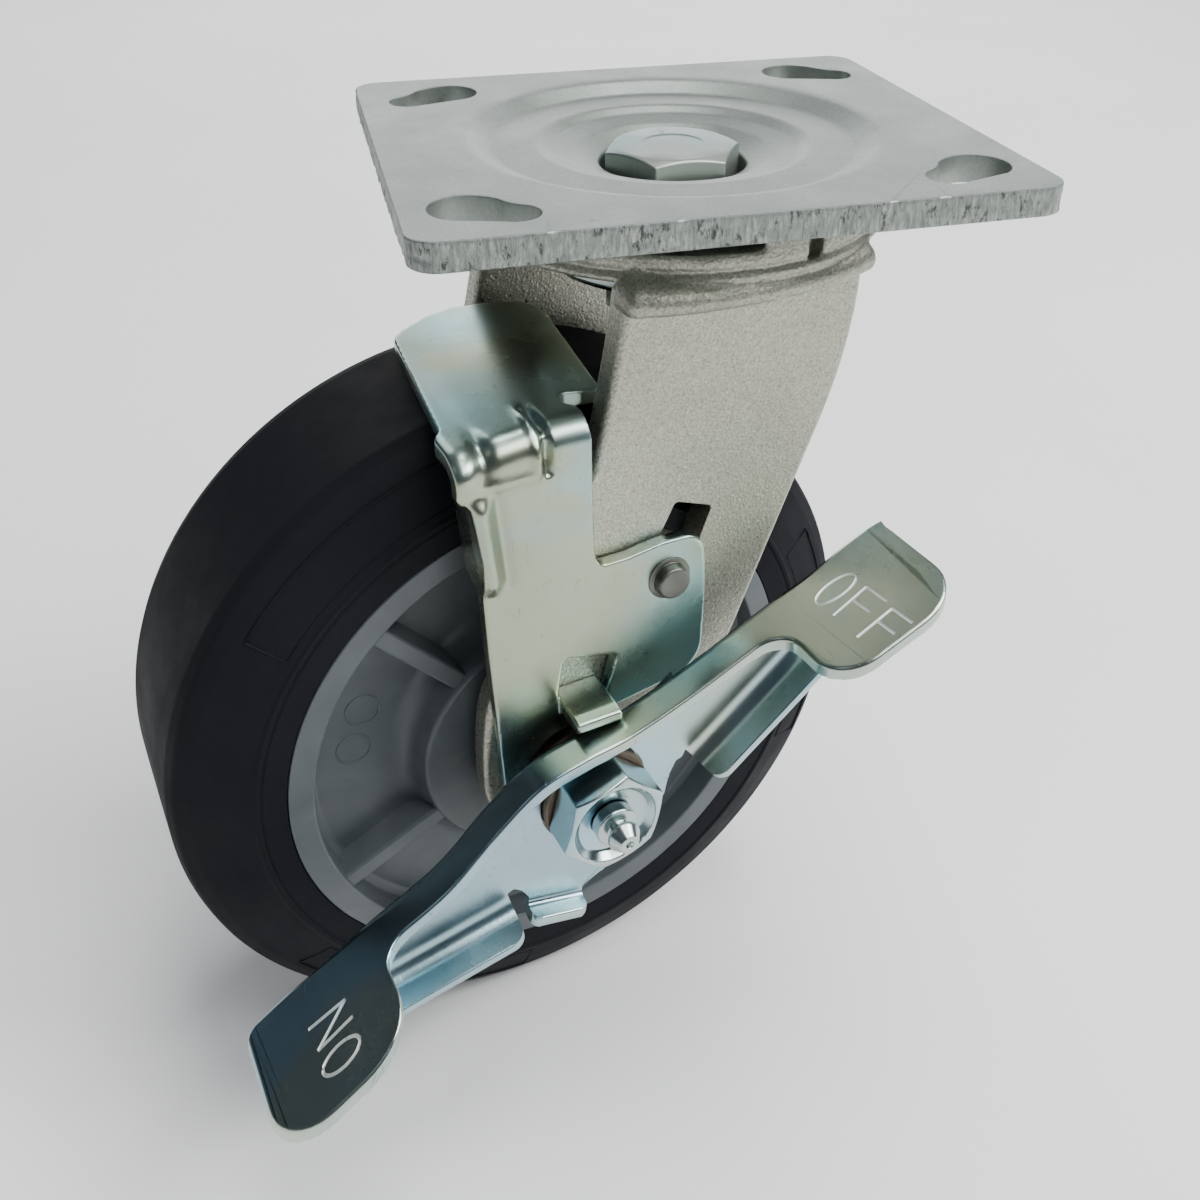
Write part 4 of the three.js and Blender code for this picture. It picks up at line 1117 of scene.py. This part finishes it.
def sidewall_y(radius):
    """Distance of the sloping sidewall from the mid plane at a radius."""
    return 23 + (RIM_FACE - 23) * (66 - radius) / (66 - 60.3)


def panel_outline(side, middle):
    """Raised outline on the sidewall: a long band about an angle in degrees."""
    inner, outer, spread, steps = 62.4, 70.0, 24, 24
    path = [(outer, middle - spread + 2 * spread * k / steps) for k in range(steps + 1)]
    path += [(inner, middle + spread - 2 * spread * k / steps) for k in range(steps + 1)]
    points = []
    for radius, angle in path:
        a = radians(angle)
        points.append((radius * cos(a), side * (sidewall_y(radius) - 0.05), radius * sin(a)))
    return tube("panel", points, 0.22, 6, closed=True)


def make_tyre():
    r = TYRE_RADIUS
    half = [
        (58.1, 19.96, 0), (54.6, 23.96, 0.2), (54.6, 25.15, 0.4), (59.2, 25.35, 0.4), (59.6, 25.05, 0.2),
        (60.1, RIM_FACE, 0.3), (60.7, RIM_FACE, 0.3), (61.3, 24.95, 0.3), (66, 23.05, 6), (71.4, 20.4, 5),
        (74.1, 18.4, 2.5), (r - 0.05, 15.4, 4), (r, 8, 30)]
    tyre = turned("wheel_tyre_look", rounded(both_sides(half), 6), 240, "y")
    gather(tyre, *(panel_outline(side, middle) for side in (-1, 1) for middle in (0, 120, 240)))
    finish_piece(tyre, "wheel", "rubber", RUBBER, "wheel_tyre", flat_limit=50)


def mould_mark(side, angle):
    """Plain raised ring on the web, at an angle in degrees."""
    a, reach, radius = radians(angle), 40, 3.4
    centre = Vector((reach * cos(a), side * CORE_WEB, reach * sin(a)))
    ring = [centre + Vector((radius * cos(b), 0, radius * sin(b))) for b in ring_angles(32)]
    return tube("mark", ring, 0.22, 6, closed=True)


def make_core():
    half = [
        (16.8, RIM_FACE, 0.4), (27.2, RIM_FACE, 1.3), (29.6, CORE_WEB, 5), (47.9, CORE_WEB, 1.6),
        (49.1, 19.6, 1.0), (49.5, RIM_FACE, 0.5), (54.5, RIM_FACE, 0.3), (54.5, 23.9, 0), (58, 19.9, 0)]
    core = turned("wheel_core_look", rounded(both_sides(half), 5), 180, "y")
    ribs = []
    for i in range(5):
        for side in (-1, 1):
            section = rounded([(-2.5, 17.8, 0), (-1.9, 24.5, 0.7), (1.9, 24.5, 0.7), (2.5, 17.8, 0)], 4)
            rib = prism("rib", [(a, side * b) for a, b in section], 27, 49.8, "x")
            upright = Matrix.Rotation(pi / 2, 4, "X")
            rib.data.transform(Matrix.Rotation(radians(-133 - 72 * i), 4, "Y") @ upright)
            ribs.append(rib)
    union(core, *ribs)
    gather(core, *(mould_mark(side, angle) for side in (-1, 1) for angle in (157, 170)))
    finish_piece(core, "wheel", "plastic", PLASTIC, "wheel_core")


def make_caps():
    for side, name in ((-1, "near"), (1, "far")):
        low, high = sorted((side * 24.2, side * 25.2))
        cap = turned(f"bearing_cap_{name}_look", ring_profile(9.8, CAP_RADIUS, low, high), 96, "y")
        finish_piece(cap, "wheel", "dark_steel", DARK_STEEL, f"bearing_cap_{name}")


make_plate()
make_kingpin()
make_races()
make_crown()
make_legs()
make_axle()
make_nipple()
make_axle_rings()
make_rivet()
make_shoe()
make_lever()
make_tyre()
make_core()
make_caps()
for hidden in ("axle_sleeve", "roller_bearing", "hub_race"):
    frame["nodes"][hidden].data.materials.clear()
    frame["nodes"][hidden].data.materials.append(DARK_STEEL)


# ---- floor, light and camera ----

def make_floor():
    half, gap = 3, 0.0002
    corners = [(-half, -half, 0), (half, -half, 0), (half, half, 0), (-half, half, 0)]
    floor = new_object("floor", corners, [(0, 1, 2, 3)])
    floor.location.z = CAD_BOX[0].z - gap
    s = Shader("floor", 0.0, 0.7)
    s.colour(s.ramp(s.noise(6, 3, 0.5), (0.3, (0.88, 0.88, 0.88)), (0.7, (0.91, 0.91, 0.91))))
    floor.data.materials.append(s.material)


def soft_light(name, place, aim, size, power):
    lamp = bpy.data.lights.new(name, "AREA")
    lamp.shape = "RECTANGLE"
    lamp.size, lamp.size_y = size
    lamp.energy = power
    obj = add_object(name, lamp)
    obj.location = place
    obj.rotation_mode = "QUATERNION"
    obj.rotation_quaternion = (Vector(aim) - Vector(place)).to_track_quat("-Z", "Y")


def make_light():
    world = bpy.data.worlds.new("studio")
    bpy.context.scene.world = world
    world.use_nodes = True
    background = world.node_tree.nodes["Background"]
    background.inputs["Color"].default_value = (0.66, 0.80, 1.0, 1)
    background.inputs["Strength"].default_value = 0.10
    aim = (-0.02, 0, -0.09)
    soft_light("back_softbox", (0.25, 1.35, 0.34), aim, (1.7, 0.62), 11)
    soft_light("back_left_fill", (-0.36, 0.95, 0.85), aim, (0.3, 0.4), 1.3)
    soft_light("left_softbox", (-1.1, -0.5, 0.9), aim, (0.5, 0.5), 0.6)
    soft_light("right_softbox", (1.3, -0.5, 1.15), aim, (0.9, 0.9), 34)
    soft_light("front_floor", (0.5, -1.0, 1.3), (0.45, -0.6, -0.19), (0.9, 0.9), 18)
    soft_light("overhead", (0.3, 0.1, 1.7), aim, (0.9, 0.9), 25)


def make_camera():
    lens = bpy.data.cameras.new("camera")
    lens.lens = 39.3
    lens.sensor_width = 36
    lens.shift_x, lens.shift_y = -0.039, -0.155
    lens.clip_start = 0.01
    camera = add_object("camera", lens)
    camera.location = (-0.0727, -0.2393, 0.0705)
    camera.rotation_euler = [radians(a) for a in (61.949, -0.371, -15.627)]
    bpy.context.scene.camera = camera


make_floor()
make_light()
make_camera()
